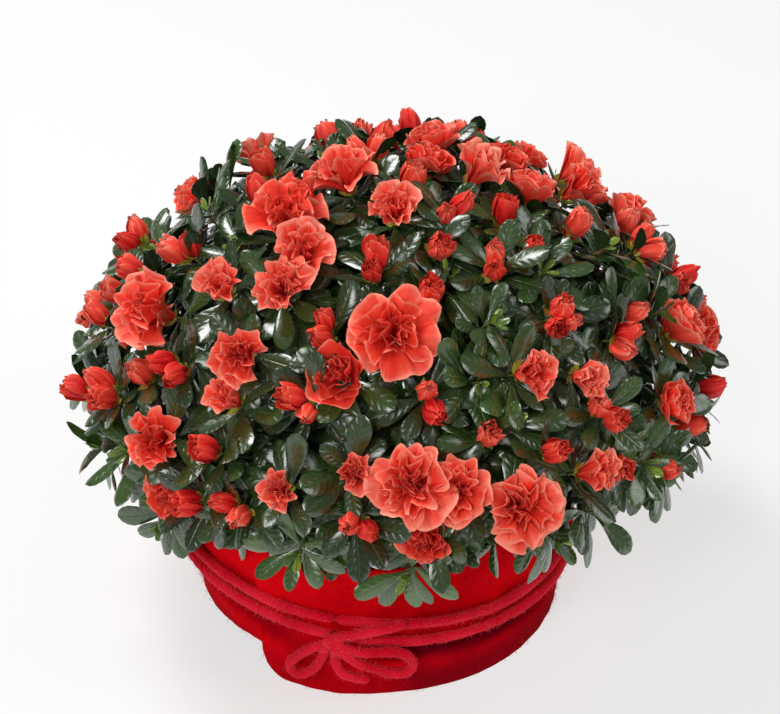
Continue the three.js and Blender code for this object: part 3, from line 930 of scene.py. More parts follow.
@dataclass
class Wrap:
    """A strip of felt wound once round the pot, lapped at the front and squeezed by the cord."""

    hem: float = 0.5
    rim: float = 95.5
    thickness: float = 3.4
    outline: tuple[tuple[float, float], ...] = (
        (97.0, 0.5), (98.6, 16.0), (100.6, 34.0), (100.6, 62.0), (104.5, 76.0), (108.0, 95.5),
    )
    collar_foot: float = 62.0
    collar_wave: float = 1.4
    collar_sway: float = 1.5
    tie_height: float = 46.0
    gather: float = 0.5
    gather_at_tie: float = 0.9
    seat_of_tie: float = 0.45
    foot_flare: float = 0.9
    slack: float = 6.5
    slack_azimuth: float = math.radians(196)
    slack_width: float = math.radians(30)
    crease_depth: float = 8.0
    crease_half: float = 5.5
    lift: float = 17.0
    lift_start: float = math.radians(150)
    outer_end: float = math.radians(232)
    inner_start: float = math.radians(250)
    turn: float = math.radians(378)
    lap: float = math.radians(46)
    lap_run: float = math.radians(26)
    corner: float = 15.0
    end_radius: float = 97.0
    middle_radius: float = 101.5
    sharp: float = 1.2
    soft_edge: float = 1.1
    steps: int = 300
    rows: int = 30
    fibres: int = 9000
    fibre_radii: Point = (0.08, 0.07, 0.025)

    def radius(self, azimuth: float, height: float) -> float:
        """The outer radius, with the collar's waves and the gathers at the cord.

        Args:
            azimuth: The way round, in radians.
            height: How high, in millimetres.

        Returns:
            The radius in millimetres.
        """
        radii, heights = zip(*self.outline)
        x, y = math.cos(azimuth), math.sin(azimuth)
        radius = float(np.interp(height, heights, radii)) + self.bulge(azimuth, height)
        radius -= self.crease_depth * self.crease(azimuth, height)
        collar = max(0.0, (height - self.collar_foot) / (self.rim - self.collar_foot))
        slow = noise.noise(Vector((x * 3.1, y * 3.1, height * 0.012)))
        wave = self.collar_wave * (0.5 + 0.5 * math.sin(7 * azimuth))
        radius += collar * (wave + self.collar_sway * slow)
        near_tie = bump(height, self.tie_height, 17.0)
        gathers = noise.noise(Vector((x * 11.0, y * 11.0, height * 0.02 + 9.0)))
        radius += gathers * (self.gather + self.gather_at_tie * near_tie)
        low = max(0.0, 1.0 - height / 40.0)
        return radius + self.seat_of_tie * near_tie + self.foot_flare * low

    def bulge(self, azimuth: float, height: float) -> float:
        """How far felt and cord stand out further where the strip is slack, on the left."""
        near = bump(off_by(azimuth, self.slack_azimuth), 0.0, self.slack_width)
        return self.slack * near * float(ramp(height, 16, 58))

    def crease(self, azimuth: float, height: float) -> float:
        """How deep the felt folds in under the cord on both sides of the bow.

        Args:
            azimuth: The way round, in radians.
            height: How high, in millimetres.

        Returns:
            The depth, from 0 to 1.
        """
        turned_to = bearing(azimuth)
        middle = 32.8 - 7.5 * math.cos(azimuth)
        right = float(ramp(turned_to, 258, 276) * (1 - ramp(turned_to, 325, 352)))
        left = float(ramp(turned_to, 180, 200) * (1 - ramp(turned_to, 236, 250))) * 0.6
        return bump(height, middle, self.crease_half) * (right + left)

    def _edge(self, share: float) -> tuple[float, float, float]:
        """The strip's run at a share of its length.

        Args:
            share: How far along the strip, from 0 to 1.

        Returns:
            The azimuth, the hem's height and the lap's lift.
        """
        azimuth = self.inner_start - self.turn * share
        hem = self.hem
        if share < 0.5:
            hem += self.lift * float(ramp(azimuth % TURN, self.lift_start, self.outer_end))
        lap = float(ramp((share - 1.0) * self.turn + self.lap, 0.0, self.lap_run))
        run_out = (1.0 - share) * self.turn * self.end_radius
        if run_out < self.corner:
            hem += self.corner - math.sqrt(self.corner**2 - (self.corner - run_out) ** 2)
        return azimuth, hem, lap

    def face_at(self, share: float, level: float) -> Array:
        """A point of the strip's outer face, in millimetres.

        Args:
            share: How far along the strip, from 0 to 1.
            level: How far up it, from its hem at 0 to its rim at 1.

        Returns:
            The point.
        """
        azimuth, hem, lap = self._edge(share)
        height = hem + (self.rim - hem) * level
        tied = bump(height, self.tie_height, 15.0)
        radius = self.radius(azimuth, height) + lap * self.thickness * (1.05 - 0.75 * tied)
        free = max(0.0, (height - 70.0) / 25.0)
        sway = 1.2 * noise.noise(Vector((azimuth * 2.2, 4.0, 0.0))) * free
        return around(azimuth, radius, height + sway)

    def make(self) -> Piece:
        """Winds the strip, gives it its thickness and its soft edges, and notes where it gets
        painted shade.
        """
        mesh = bmesh.new()
        bmesh.ops.create_grid(mesh, x_segments=self.steps, y_segments=self.rows, size=1.0)
        for vert in mesh.verts:
            vert.co = Vector(self.face_at(vert.co.x * 0.5 + 0.5, vert.co.y * 0.5 + 0.5)) * MM
        bmesh.ops.recalc_face_normals(mesh, faces=mesh.faces)
        outward = sum(face.normal.dot(face.calc_center_median().xy.to_3d()) for face in mesh.faces)
        if outward < 0:
            bmesh.ops.reverse_faces(mesh, faces=mesh.faces)
        bmesh.ops.solidify(mesh, geom=mesh.faces[:], thickness=self.thickness * MM)
        sharp = [
            edge
            for edge in mesh.edges
            if len(edge.link_faces) == 2 and edge.calc_face_angle() > self.sharp
        ]
        rounding = {"affect": "EDGES", "segments": 3, "profile": 0.5, "material": -1}
        soft = self.soft_edge * MM
        bmesh.ops.bevel(mesh, geom=sharp, offset=soft, offset_type="OFFSET", **rounding)
        piece = worked("felt", mesh)
        # The fold number is the felt's painted shade, darker in the creases and towards the hem.
        folds = [self.painted_shade_at(vert.co / MM) for vert in piece.data.vertices]
        piece.data.attributes.new("fold", "FLOAT", "POINT").data.foreach_set("value", folds)
        return piece

    def painted_shade_at(self, point: Vector) -> float:
        """How much painted shade the felt gets: in the creases under the cord, and low down towards
        the hem.

        Args:
            point: The place, in millimetres.

        Returns:
            The share of painted shade, from 0 to 1.
        """
        azimuth = math.atan2(point.y, point.x)
        turned_to = bearing(azimuth)
        right = float(ramp(turned_to, 262, 285) * (1 - ramp(turned_to, 335, 358)))
        low = (0.4 + 0.4 * right) * float(1 - ramp(point.z, 8.0, 33.0))
        near = max(self.crease(azimuth, point.z - 1.5), self.crease(azimuth, point.z + 3.0))
        return min(1.0, max(low, 1.2 * near))

    def nap(self) -> Piece:
        """Fine fibres that stand out from the felt's face."""
        random = np.random.default_rng(7)
        places = random.uniform(0, 1, (self.fibres, 2))
        root = np.array([self.face_at(share, level) for share, level in places])
        out = unit(root * (1.0, 1.0, 0.0))
        sweep = random.normal(0, 0.8, root.shape)
        length = random.uniform(0.7, 2.2, (self.fibres, 1))
        lines = hairs(root, out, sweep, length)
        lines[:, 0] -= out * 0.3
        lines[:, 2, 2] = np.maximum(lines[:, 2, 2], 0.3)
        return fuzz("felt_fibres", [lines * MM], self.fibre_radii)

    def dress(self, material: Material, nap: Material) -> None:
        """Dresses the strip and its fibres.

        Args:
            material: The felt.
            nap: Its fibres.
        """
        piece = settle(self.make(), material, "felt", ["felt_wrap"])
        settle(self.nap(), nap, "felt", ["felt_wrap"])
        length = self.turn * self.middle_radius * MM


@dataclass
class Cord:
    """The wool cord: two turns round the felt and a bow with two loops and two ends."""

    wrap: Wrap
    diameter: float = 5.2
    sides: int = 14
    ring: float = 103.9
    sunk: float = 0.4
    seam: float = 0.004
    turn_steps: int = 230
    lap_azimuth: float = math.radians(245)
    lap_rise: float = 1.2
    knot_azimuth: float = math.radians(257)
    knot_height: float = 41.5
    knot_standoff: float = 3.3
    bow_steps: int = 110
    fibres_per_metre: float = 5200.0
    fibre_radii: Point = (0.1, 0.085, 0.03)
    turns: tuple[tuple[str, float, float], ...] = (
        ("tie_turn_upper", 54.0, -6.6),
        ("tie_turn_lower", 42.8, -7.5),
    )
    knot_wraps: tuple[tuple[float, float, float, float], ...] = (
        (-2.9, 0.5, 4.0, 5.4),
        (2.7, 0.25, 3.8, 5.5),
        (0.0, -0.7, 5.2, 4.4),
    )
    loop_left: tuple[Point, ...] = (
        (-7, 38.8, 3.8), (-12.5, 35.2, 4.2), (-18.5, 29, 4.4), (-23, 23, 4.4),
        (-23.5, 17.5, 4.2), (-19, 15.3, 4.2), (-14, 18.5, 4.4), (-9, 24.5, 4.4),
        (-4.9, 34.2, 3.9),
    )
    loop_right: tuple[Point, ...] = (
        (7.2, 40.5, 5.2), (14, 38.8, 5.4), (22, 39.3, 5.4), (30, 39.2, 5.2),
        (37.5, 35.6, 4.8), (40, 29, 4.6), (36.5, 23.8, 4.4), (29, 23.8, 4.4),
        (22, 26.6, 4.4), (14, 29.6, 4.3), (6.1, 35.2, 4),
    )
    tail_upper: tuple[Point, ...] = (
        (4.3, 48.9, 5.6), (10, 51, 6.2), (19, 54, 6.4), (28, 57, 6.4),
        (36.5, 59, 5.8),
    )
    tail_lower: tuple[Point, ...] = (
        (0.6, 33.6, 3.7), (1.8, 27, 4.4), (5.5, 22, 4.6), (12, 20, 4.4),
        (18.5, 19, 3.8),
    )
    through_left: tuple[tuple[float, float], ...] = ((-5.0, 38.6), (-2.0, 41.6), (0.9, 38.6))
    through_right: tuple[tuple[float, float], ...] = ((1.2, 39.2), (0.2, 43.8))

    def on_wrap(self, right: float, height: float, out: float) -> Point:
        """A point of the bow: how far right of the knot, how high and how far out."""
        return tuple(around(self.knot_azimuth + right / self.ring, self.ring + out, height))

    def strand(self, name: str, line: Array) -> Piece:
        """A length of fuzzy cord along a line.

        Args:
            name: The piece's name.
            line: The centres of its rings, in metres.

        Returns:
            The piece, with rounded ends.
        """
        pattern = Pattern.rod(self.sides, len(line) - 2)
        half = self.diameter / 2 * MM
        run = run_along(line)
        to_end = np.minimum(run, run[-1] - run)
        rounded = np.sqrt(1 - (1 - np.clip(to_end / half, 0.06, 1)) ** 2)
        uneven = np.array([rough(point, 90) for point in line])
        radii = half * rounded * (1.0 + 0.1 * uneven)
        points = bent_rods(pattern, line[None], radii[None])
        centres = line[pattern.rings(len(line) - 1)]
        tufts = [rough(point, 420) * 0.16 + rough(point, 150) * 0.1 for point in points[0]]
        points[0] += (points[0] - centres) * np.array(tufts)[:, None]
        joined = Joined(name)
        joined.add(pattern, points)
        return joined.make()

    def turn_line(self, level: float, tilt: float) -> Array:
        """The line of one turn round the wrap, further out where it crosses the lap.

        Args:
            level: How high it runs, in millimetres.
            tilt: How far it rises to the right.

        Returns:
            Its points, in metres.
        """
        start = self.knot_azimuth + self.seam
        line = []
        for azimuth in np.linspace(0, TURN, self.turn_steps + 1) + start:
            height = level + tilt * math.cos(azimuth) + 0.5 * math.sin(5 * azimuth + level)
            over_lap = self.lap_rise * bump(off_by(azimuth, self.lap_azimuth), 0.0, 0.25)
            out = over_lap + self.wrap.bulge(azimuth, height) - self.sunk
            line.append(around(azimuth, self.ring + out, height))
        return np.array(line) * MM

    def bow_lines(self) -> dict[str, tuple[Array, tuple[str, str]]]:
        """The lines of the bow's two cords, in metres, with the solids that each stands for."""
        routes = (
            ("left", self.loop_left, self.through_left, self.tail_lower, "bow_tail_lower"),
            ("right", self.loop_right, self.through_right, self.tail_upper, "bow_tail_upper"),
        )
        lines = {}
        for side, loop, through, tail, tail_node in routes:
            points = [(0.0, self.knot_height, self.knot_standoff), *loop]
            points += [(*point, self.knot_standoff) for point in through]
            route = [self.on_wrap(*point) for point in (*points, *tail)]
            line = smooth_route(route, self.bow_steps) * MM
            lines[f"bow_cord_{side}"] = (line, (f"bow_loop_{side}", tail_node))
        return lines

    def bow_cords(self, material: Material) -> None:
        """Makes the two free cords of the bow: each goes round its loop and ends in its tail.

        Args:
            material: The wool.
        """
        for name, (line, nodes) in self.bow_lines().items():
            piece = settle(self.strand(name, line), material, "cord", nodes)
            length_of(line)

    def knot_lines(self) -> list[Array]:
        """The lines of the three short wraps of the knot, in metres."""
        centre = np.array(self.on_wrap(0.0, self.knot_height, self.knot_standoff))
        out = around(self.knot_azimuth, 1.0, 0.0)
        right = around(self.knot_azimuth + math.pi / 2, 1.0, 0.0)
        turn = np.linspace(0.0, TURN, 17)[:, None]
        lines = []
        for shift, tilt, wide, tall in self.knot_wraps:
            up = UP * math.cos(tilt) + right * math.sin(tilt)
            ring = centre + right * shift + up * tall * np.sin(turn)
            lines.append((ring + out * wide * 0.55 * np.cos(turn)) * MM)
        return lines

    def knot(self) -> Piece:
        """The knot: three short wraps of cord drawn tight over each other."""
        joined = Joined("bow_knot_wraps")
        lines = np.array(self.knot_lines())
        pattern = Pattern.rod(12, lines.shape[1] - 2)
        radii = np.full(lines.shape[:2], self.diameter / 2 * MM)
        joined.add(pattern, bent_rods(pattern, lines, radii))
        return joined.make()

    def nap(self, lines: Sequence[Array]) -> Piece:
        """Fine fibres that stand out from the cord all along it.

        Args:
            lines: The lines of every strand, in metres.

        Returns:
            The fibres as one piece.
        """
        random = np.random.default_rng(11)
        batches = []
        for line in lines:
            count = int(length_of(line) * self.fibres_per_metre)
            place = random.uniform(0.02, 0.98, count) * (len(line) - 1)
            low = place.astype(int)
            along = unit(line[low + 1] - line[low])
            middle = line[low] + (line[low + 1] - line[low]) * (place - low)[:, None]
            first, second = square_to(along, np.broadcast_to(UP, along.shape))
            turn = random.uniform(0, TURN, count)[:, None]
            out = first * np.cos(turn) + second * np.sin(turn)
            length = random.uniform(0.7, 2.4, count)[:, None] * MM
            sweep = along * random.uniform(-1, 1, count)[:, None]
            sweep = sweep + random.normal(0, 0.35, (count, 3))
            root = middle + out * (self.diameter / 2 - 0.25) * MM
            batches.append(hairs(root, out, sweep, length))
        return fuzz("cord_fibres", batches, self.fibre_radii)

    def dress(self, material: Material, nap: Material) -> None:
        """Makes the whole tie, and the fibres that stand out from it.

        Args:
            material: The cord's wool.
            nap: Its fibres.
        """
        self.bow_cords(material)
        rounds = {name: self.turn_line(level, tilt) for name, level, tilt in self.turns}
        for name, line in rounds.items():
            settle(self.strand(name + "_wool", line), material, "cord", [name])
        settle(self.knot(), material, "cord", ["bow_knot"])
        lines = [line for line, _ in self.bow_lines().values()]
        fibres = self.nap([*lines, *rounds.values(), *self.knot_lines()])
        bow = ("knot", "loop_left", "loop_right", "tail_upper", "tail_lower")
        settle(fibres, nap, "cord", [*(f"bow_{part}" for part in bow), *rounds])


# ---- Pot and peat ----


@dataclass
class Pot:
    """The nursery pot and the peat in it."""

    height: float = 90.0
    foot: float = 80.0
    shoulder: float = 98.6
    lip: float = 101.4
    lip_height: float = 7.0
    wall: float = 2.4
    floor: float = 3.0
    drain_depth: float = 1.4
    soil_edge: float = 76.0
    soil_rise: float = 4.0
    soil_top: float = 80.2

    def shell(self) -> Piece:
        """Turns the pot, with a recessed underside, and sinks its drain holes."""
        ledge = self.height - self.lip_height
        profile = [
            (0.0, 0.9), (66.0, 0.9), (68.0, 0.0), (self.foot - 1.5, 0.0),
            (self.foot - 0.4, 0.4), (self.foot, 1.5), (self.shoulder, ledge),
            (self.lip - 0.5, ledge), (self.lip, ledge + 0.5), (self.lip, self.height - 0.6),
            (self.lip - 0.6, self.height), (self.shoulder - self.wall + 0.5, self.height),
            (self.shoulder - self.wall, self.height - 0.5),
            (self.foot - self.wall, self.floor), (0.0, self.floor),
        ]
        mesh = turned(profile, 96)
        base = [
            face
            for face in mesh.faces
            if face.normal.z < -0.9 and face.calc_center_median().z < 0.95 * MM
        ]
        base.sort(key=self._round_first)
        holes = [face for i, face in enumerate(base) if i % 12 < 2]
        bmesh.ops.inset_region(mesh, faces=holes, thickness=0.8 * MM, depth=-self.drain_depth * MM)
        return worked("pot_shell", mesh, smooth=False)

    @property
    def soil_radius(self) -> float:
        """The radius of the peat where it meets the pot's wall."""
        share = (self.soil_edge - self.floor) / (self.height - self.floor)
        return self.foot - self.wall + (self.shoulder - self.foot) * share - 0.6

    @staticmethod
    def _round_first(face: bmesh.types.BMFace) -> tuple[float, float]:
        """Sorts the underside's faces by their distance from the middle, then by their azimuth."""
        middle = face.calc_center_median()
        return round(middle.xy.length, 4), math.atan2(middle.y, middle.x)

    def peat(self) -> Piece:
        """The lumpy top of the peat and the root ball under it."""
        mesh = bmesh.new()
        radii = {"radius1": self.foot - self.floor, "radius2": self.soil_radius}
        bmesh.ops.create_cone(mesh, cap_ends=True, segments=72, depth=1.0, **radii)
        top = [face for face in mesh.faces if face.normal.z > 0.9]
        for _ in range(9):
            bmesh.ops.inset_region(mesh, faces=top, thickness=8.5)
        bmesh.ops.poke(mesh, faces=top)
        for vert in mesh.verts:
            low = vert.co.z < 0
            radius = vert.co.xy.length
            dome = self.soil_rise * (1 - (radius / self.shoulder) ** 2)
            lump = 1.5 * noise.noise(vert.co * 0.09) + 1.1 * noise.noise(vert.co * 0.27)
            top_here = min(self.soil_edge + dome + lump - 0.6, self.soil_top)
            vert.co.z = self.floor + 0.4 if low else top_here
            vert.co *= MM
        return worked("peat_ball", mesh)

    def dress(self) -> None:
        """Makes the pot and the peat."""
        settle(self.shell(), PotFinish().make(), "pot_plastic", ["pot"])
        settle(self.peat(), PeatFinish().make(), "peat", ["peat"])


# ---- The growth rule, as the solids have it ----


class Kind(Enum):
    """What stands at the tip of a twig."""

    BUD = "bud"
    LEAF = "leaf"
    BLOOM = "bloom"


def nowhere() -> Array:
    """A point that is set later."""
    return np.zeros(3)


@dataclass
class Mass:
    """One mass of foliage: its place in its ring and the boughs that lead to it."""

    label: str
    azimuth: float
    direction: Array
    core: float
    bough: Point | None
    walls: Array = field(default_factory=nowhere)


@dataclass
class Whorl:
    """The tip of a twig, where leaves stand in a ring and a bud or a bloom may open."""

    twig: int
    kind: Kind
    azimuth: float
    elevation: float
    width: float = 0.0
    point: Array = field(default_factory=nowhere)
    axis: Array = field(default_factory=nowhere)
    foot: Array = field(default_factory=nowhere)
    start: Array = field(default_factory=nowhere)
    layer: int = 0


def chance(twig: int, choice: int) -> float:
    """A repeatable number for one choice that the growth rule makes.

    Args:
        twig: The number of the twig.
        choice: The number of the choice.

    Returns:
        The number, from 0 to 1.
    """
    mask = 0xFFFFFFFF
    mix = ((twig + 1) * 0x9E3779B1 ^ (choice + 1) * 0x85EBCA6B ^ 0x5BD1E995) & mask
    mix = (mix ^ mix >> 15) * 0x2C1B3C6D & mask
    mix = (mix ^ mix >> 12) * 0x297A2D39 & mask
    return (mix ^ mix >> 15) / 2**32


def spread(twig: int, choice: int, size: float) -> float:
    """The same, spread evenly from -size to size."""
    return (2 * chance(twig, choice) - 1) * size


@dataclass
class Crown:
    """The crown's shape and the rule by which its twigs stand, in millimetres."""

    centre: Array = field(default_factory=lambda: np.array([7.0, 12.0, 124.0]))
    breadth: float = 182.0
    depth: float = 165.0
    rise: float = 140.0
    drop: float = 84.0
    lowest: float = math.radians(-8.5)
    lowest_sway: float = math.radians(-3.5)
    whorls: int = 128
    jitter: float = math.radians(3.5)
    rings: tuple[tuple[str, int, float, float, float, Point | None], ...] = (
        ("lower", 8, 4.0, 22.5, 0.68, (95.0, math.radians(12), 0.46)),
        ("upper", 5, 42.0, 54.0, 0.64, (108.0, math.radians(42), 0.39)),
        ("top", 1, 90.0, 0.0, 0.636, None),
    )
    blooms: tuple[Point, ...] = (
        (199, 64, 50), (165, 79, 44), (271, 80, 38), (231, 62, 40), (22, 70, 40),
        (202, 32, 54), (212, 44, 36), (233, 51, 36), (230, 36, 36), (270, 46, 52),
        (273, 18, 54), (283, 14, 42), (294, 9, 52), (219, 13, 38), (248, 13, 32),
        (302, 34, 34), (316, 29, 34), (309, 11, 34), (261, 18, 30), (230, 28, 30),
    )
    twin_turn: float = 168.0
    first_twin: int = 4
    upturn: tuple[float, float] = (0.35, 0.07)
    clear: float = 8.0
    inner_twig: float = 42.0
    trunk_top: float = 118.0
    trunk_foot: float = 87.0
    trunk_radii: tuple[float, float] = (10.4, 7.5)
    lean: float = 0.06
    soil: float = 80.3

    def trunk_axis(self, height: float) -> Array:
        """The point on the trunk's axis at a height."""
        return np.array([self.lean * (height - self.soil), 0.0, height])

    def trunk_radius(self, height: float) -> float:
        """The trunk's radius at a height above its flare."""
        low, high = self.trunk_radii
        return low + (high - low) * (height - self.trunk_foot) / (self.trunk_top - self.trunk_foot)

    def reach(self, direction: Array) -> float:
        """How far the leaf tips reach from the crown's centre in a direction.

        Args:
            direction: The direction, at length one.

        Returns:
            The distance in millimetres.
        """
        x, y, z = direction
        return 1 / math.hypot(
            x / self.breadth, y / self.depth, z / (self.rise if z > 0 else self.drop)
        )

    @cached_property
    def masses(self) -> list[Mass]:
        """The masses, each with the walls of its space."""
        masses = []
        for name, count, elevation, turn, core, bough in self.rings:
            for i in range(count):
                azimuth = math.radians(turn + 360 / count * i)
                label = f"{name}_{i + 1}" if count > 1 else name
                direction = towards(azimuth, math.radians(elevation))
                reach = self.reach(direction)
                limb = (bough[0], bough[1], bough[2] * reach) if bough else None
                masses.append(Mass(label, azimuth, direction, core * reach, limb))
        for mass in masses:
            others = [other.direction for other in masses if other is not mass]
            mass.walls = unit(mass.direction - np.array(others))
        return masses

    def heart(self, mass: Mass) -> Array:
        """The middle of a mass, where its twigs part."""
        return self.centre + mass.direction * mass.core

    def limb_end(self, mass: Mass) -> Array:
        """Where the bough that carries a mass ends, or the trunk under the top one."""
        if mass.bough:
            return self.centre + mass.direction * mass.bough[2]
        return self.trunk_axis(self.trunk_top)

    def mass_at(self, direction: Array) -> Mass:
        """The mass whose space a direction lies in."""
        return max(self.masses, key=lambda mass: float(mass.direction @ direction))

    def all_blooms(self) -> list[Point]:
        """The open blooms with their twins at the back, in radians and millimetres."""
        rows = list(self.blooms)
        for i, (azimuth, elevation, width) in enumerate(self.blooms):
            if i >= self.first_twin and i % 2 == 0:
                rows.append((azimuth + self.twin_turn, elevation, width))
        return [(math.radians(turn), math.radians(lift), width) for turn, lift, width in rows]

    def grow(self) -> list[Whorl]:
        """Stands the whorls of the solids at their places.

        Returns:
            Every whorl that carries a twig in the solids, with the same point, axis and foot.
        """
        blooms = self.all_blooms()
        whorls = [
            Whorl(self.whorls + i, Kind.BLOOM, azimuth, elevation, width)
            for i, (azimuth, elevation, width) in enumerate(blooms)
        ]
        for k in range(self.whorls):
            azimuth, elevation = self.turn_of(k, k, self.whorls, 0.0)
            kind = Kind.BUD if elevation > 0 and chance(k, 2) < 0.74 else Kind.LEAF
            if not self.is_covered(azimuth, elevation, 7.0):
                whorls.append(Whorl(k, kind, azimuth, elevation))
        for whorl in whorls:
            self.stand(whorl, 18 + 4 * chance(whorl.twig, 3))
        return whorls

    def turn_of(self, twig: int, k: float, count: int, deeper: float) -> tuple[float, float]:
        """The azimuth and elevation of one of a number of whorls.

        Args:
            twig: The number that the whorl's chances go by.
            k: Its place in the row.
            count: How many stand in the row.
            deeper: How much further down the row goes, in radians.

        Returns:
            Its azimuth and its elevation.
        """
        azimuth = k * GOLDEN_ANGLE + spread(twig, 0, self.jitter)
        lowest = math.sin(self.lowest - deeper + self.lowest_sway * math.cos(2 * azimuth))
        sine = 1 - (k + 0.5) / count * (1 - lowest)
        elevation = math.asin(max(-1.0, min(1.0, sine))) + spread(twig, 1, self.jitter)
        return azimuth, min(math.pi / 2, elevation)

    def is_covered(self, azimuth: float, elevation: float, margin: float) -> bool:
        """Tells whether an open bloom stands over a place.

        Args:
            azimuth: Its azimuth.
            elevation: Its elevation.
            margin: How far from a bloom's edge counts too.

        Returns:
            True where one does.
        """
        here = towards(azimuth, elevation)
        for bloom_azimuth, bloom_elevation, width in self.all_blooms():
            middle = towards(bloom_azimuth, bloom_elevation)
            cosine = max(-1.0, min(1.0, float(here @ middle)))
            if math.acos(cosine) < (width / 2 + margin) / self.reach(middle):
                return True
        return False

    def stand(self, whorl: Whorl, set_back: float) -> None:
        """Gives a whorl its point, its axis and the foot of its twig.

        Args:
            whorl: The whorl.
            set_back: How far it stands inside the reach of the leaf tips.
        """
        direction = towards(whorl.azimuth, whorl.elevation)
        whorl.point = self.centre + direction * (self.reach(direction) - set_back)
        upturn = self.upturn[0] if whorl.elevation > 0 else self.upturn[1]
        axis = unit(direction + UP * upturn * math.cos(whorl.elevation))
        mass = self.mass_at(direction)
        for wall in mass.walls:
            depth = float((whorl.point - self.centre) @ wall)
            whorl.point = whorl.point + wall * max(0.0, self.clear - depth)
        heart = self.heart(mass)
        inner = whorl.point - axis * self.inner_twig
        whorl.foot = heart + (inner - heart) * 0.6
        whorl.axis = unit(whorl.point - whorl.foot)
        start = self.limb_end(mass)
        whorl.start = start + (heart - start) * (0.15 + 0.55 * chance(whorl.twig, 40))
        if whorl.layer:
            whorl.foot = whorl.start + (whorl.point - whorl.start) * 0.5 - UP * 4

    def grow_buds(
        self, count: int, first: int, others: Sequence[Whorl], apart: float
    ) -> list[Whorl]:
        """Stands further buds in the gaps between the whorls that flower.

        Args:
            count: How many places are tried.
            first: The number of the first twig.
            others: The whorls that stand already.
            apart: How far a bud keeps from other flowers, in millimetres.

        Returns:
            The whorls that found room.
        """
        taken = [whorl.point for whorl in others if whorl.kind is not Kind.LEAF]
        whorls = []
        for i in range(count):
            twig = first + i
            azimuth, elevation = self.turn_of(twig, i + 0.71, count, 0.0)
            whorl = Whorl(twig, Kind.BUD, azimuth, elevation, layer=1)
            self.stand(whorl, 21 + 5 * chance(twig, 3))
            near = min(float(np.linalg.norm(whorl.point - point)) for point in taken)
            high = elevation > math.radians(2)
            if high and near > apart and not self.is_covered(azimuth, elevation, 4.0):
                taken.append(whorl.point)
                whorls.append(whorl)
        LOG.info("further buds: %d of %d places", len(whorls), count)
        return whorls

    def grow_inner(
        self, count: int, first: int, layer: int, set_back: float, deeper: float
    ) -> list[Whorl]:
        """Stands a further layer of leafy whorls, deeper in the crown.

        Args:
            count: How many stand in the layer.
            first: The number of the layer's first twig.
            layer: How many layers lie outside it.
            set_back: How far the layer lies inside the leaf tips.
            deeper: How much further down it goes than the outer one, in radians.

        Returns:
            The whorls.
        """
        whorls = []
        for i in range(count):
            azimuth, elevation = self.turn_of(first + i, i + 0.37, count, deeper)
            whorl = Whorl(first + i, Kind.LEAF, azimuth, elevation, layer=layer)
            self.stand(whorl, set_back + spread(first + i, 3, 7.0))
            whorls.append(whorl)
        return whorls


# ---- Wood ----


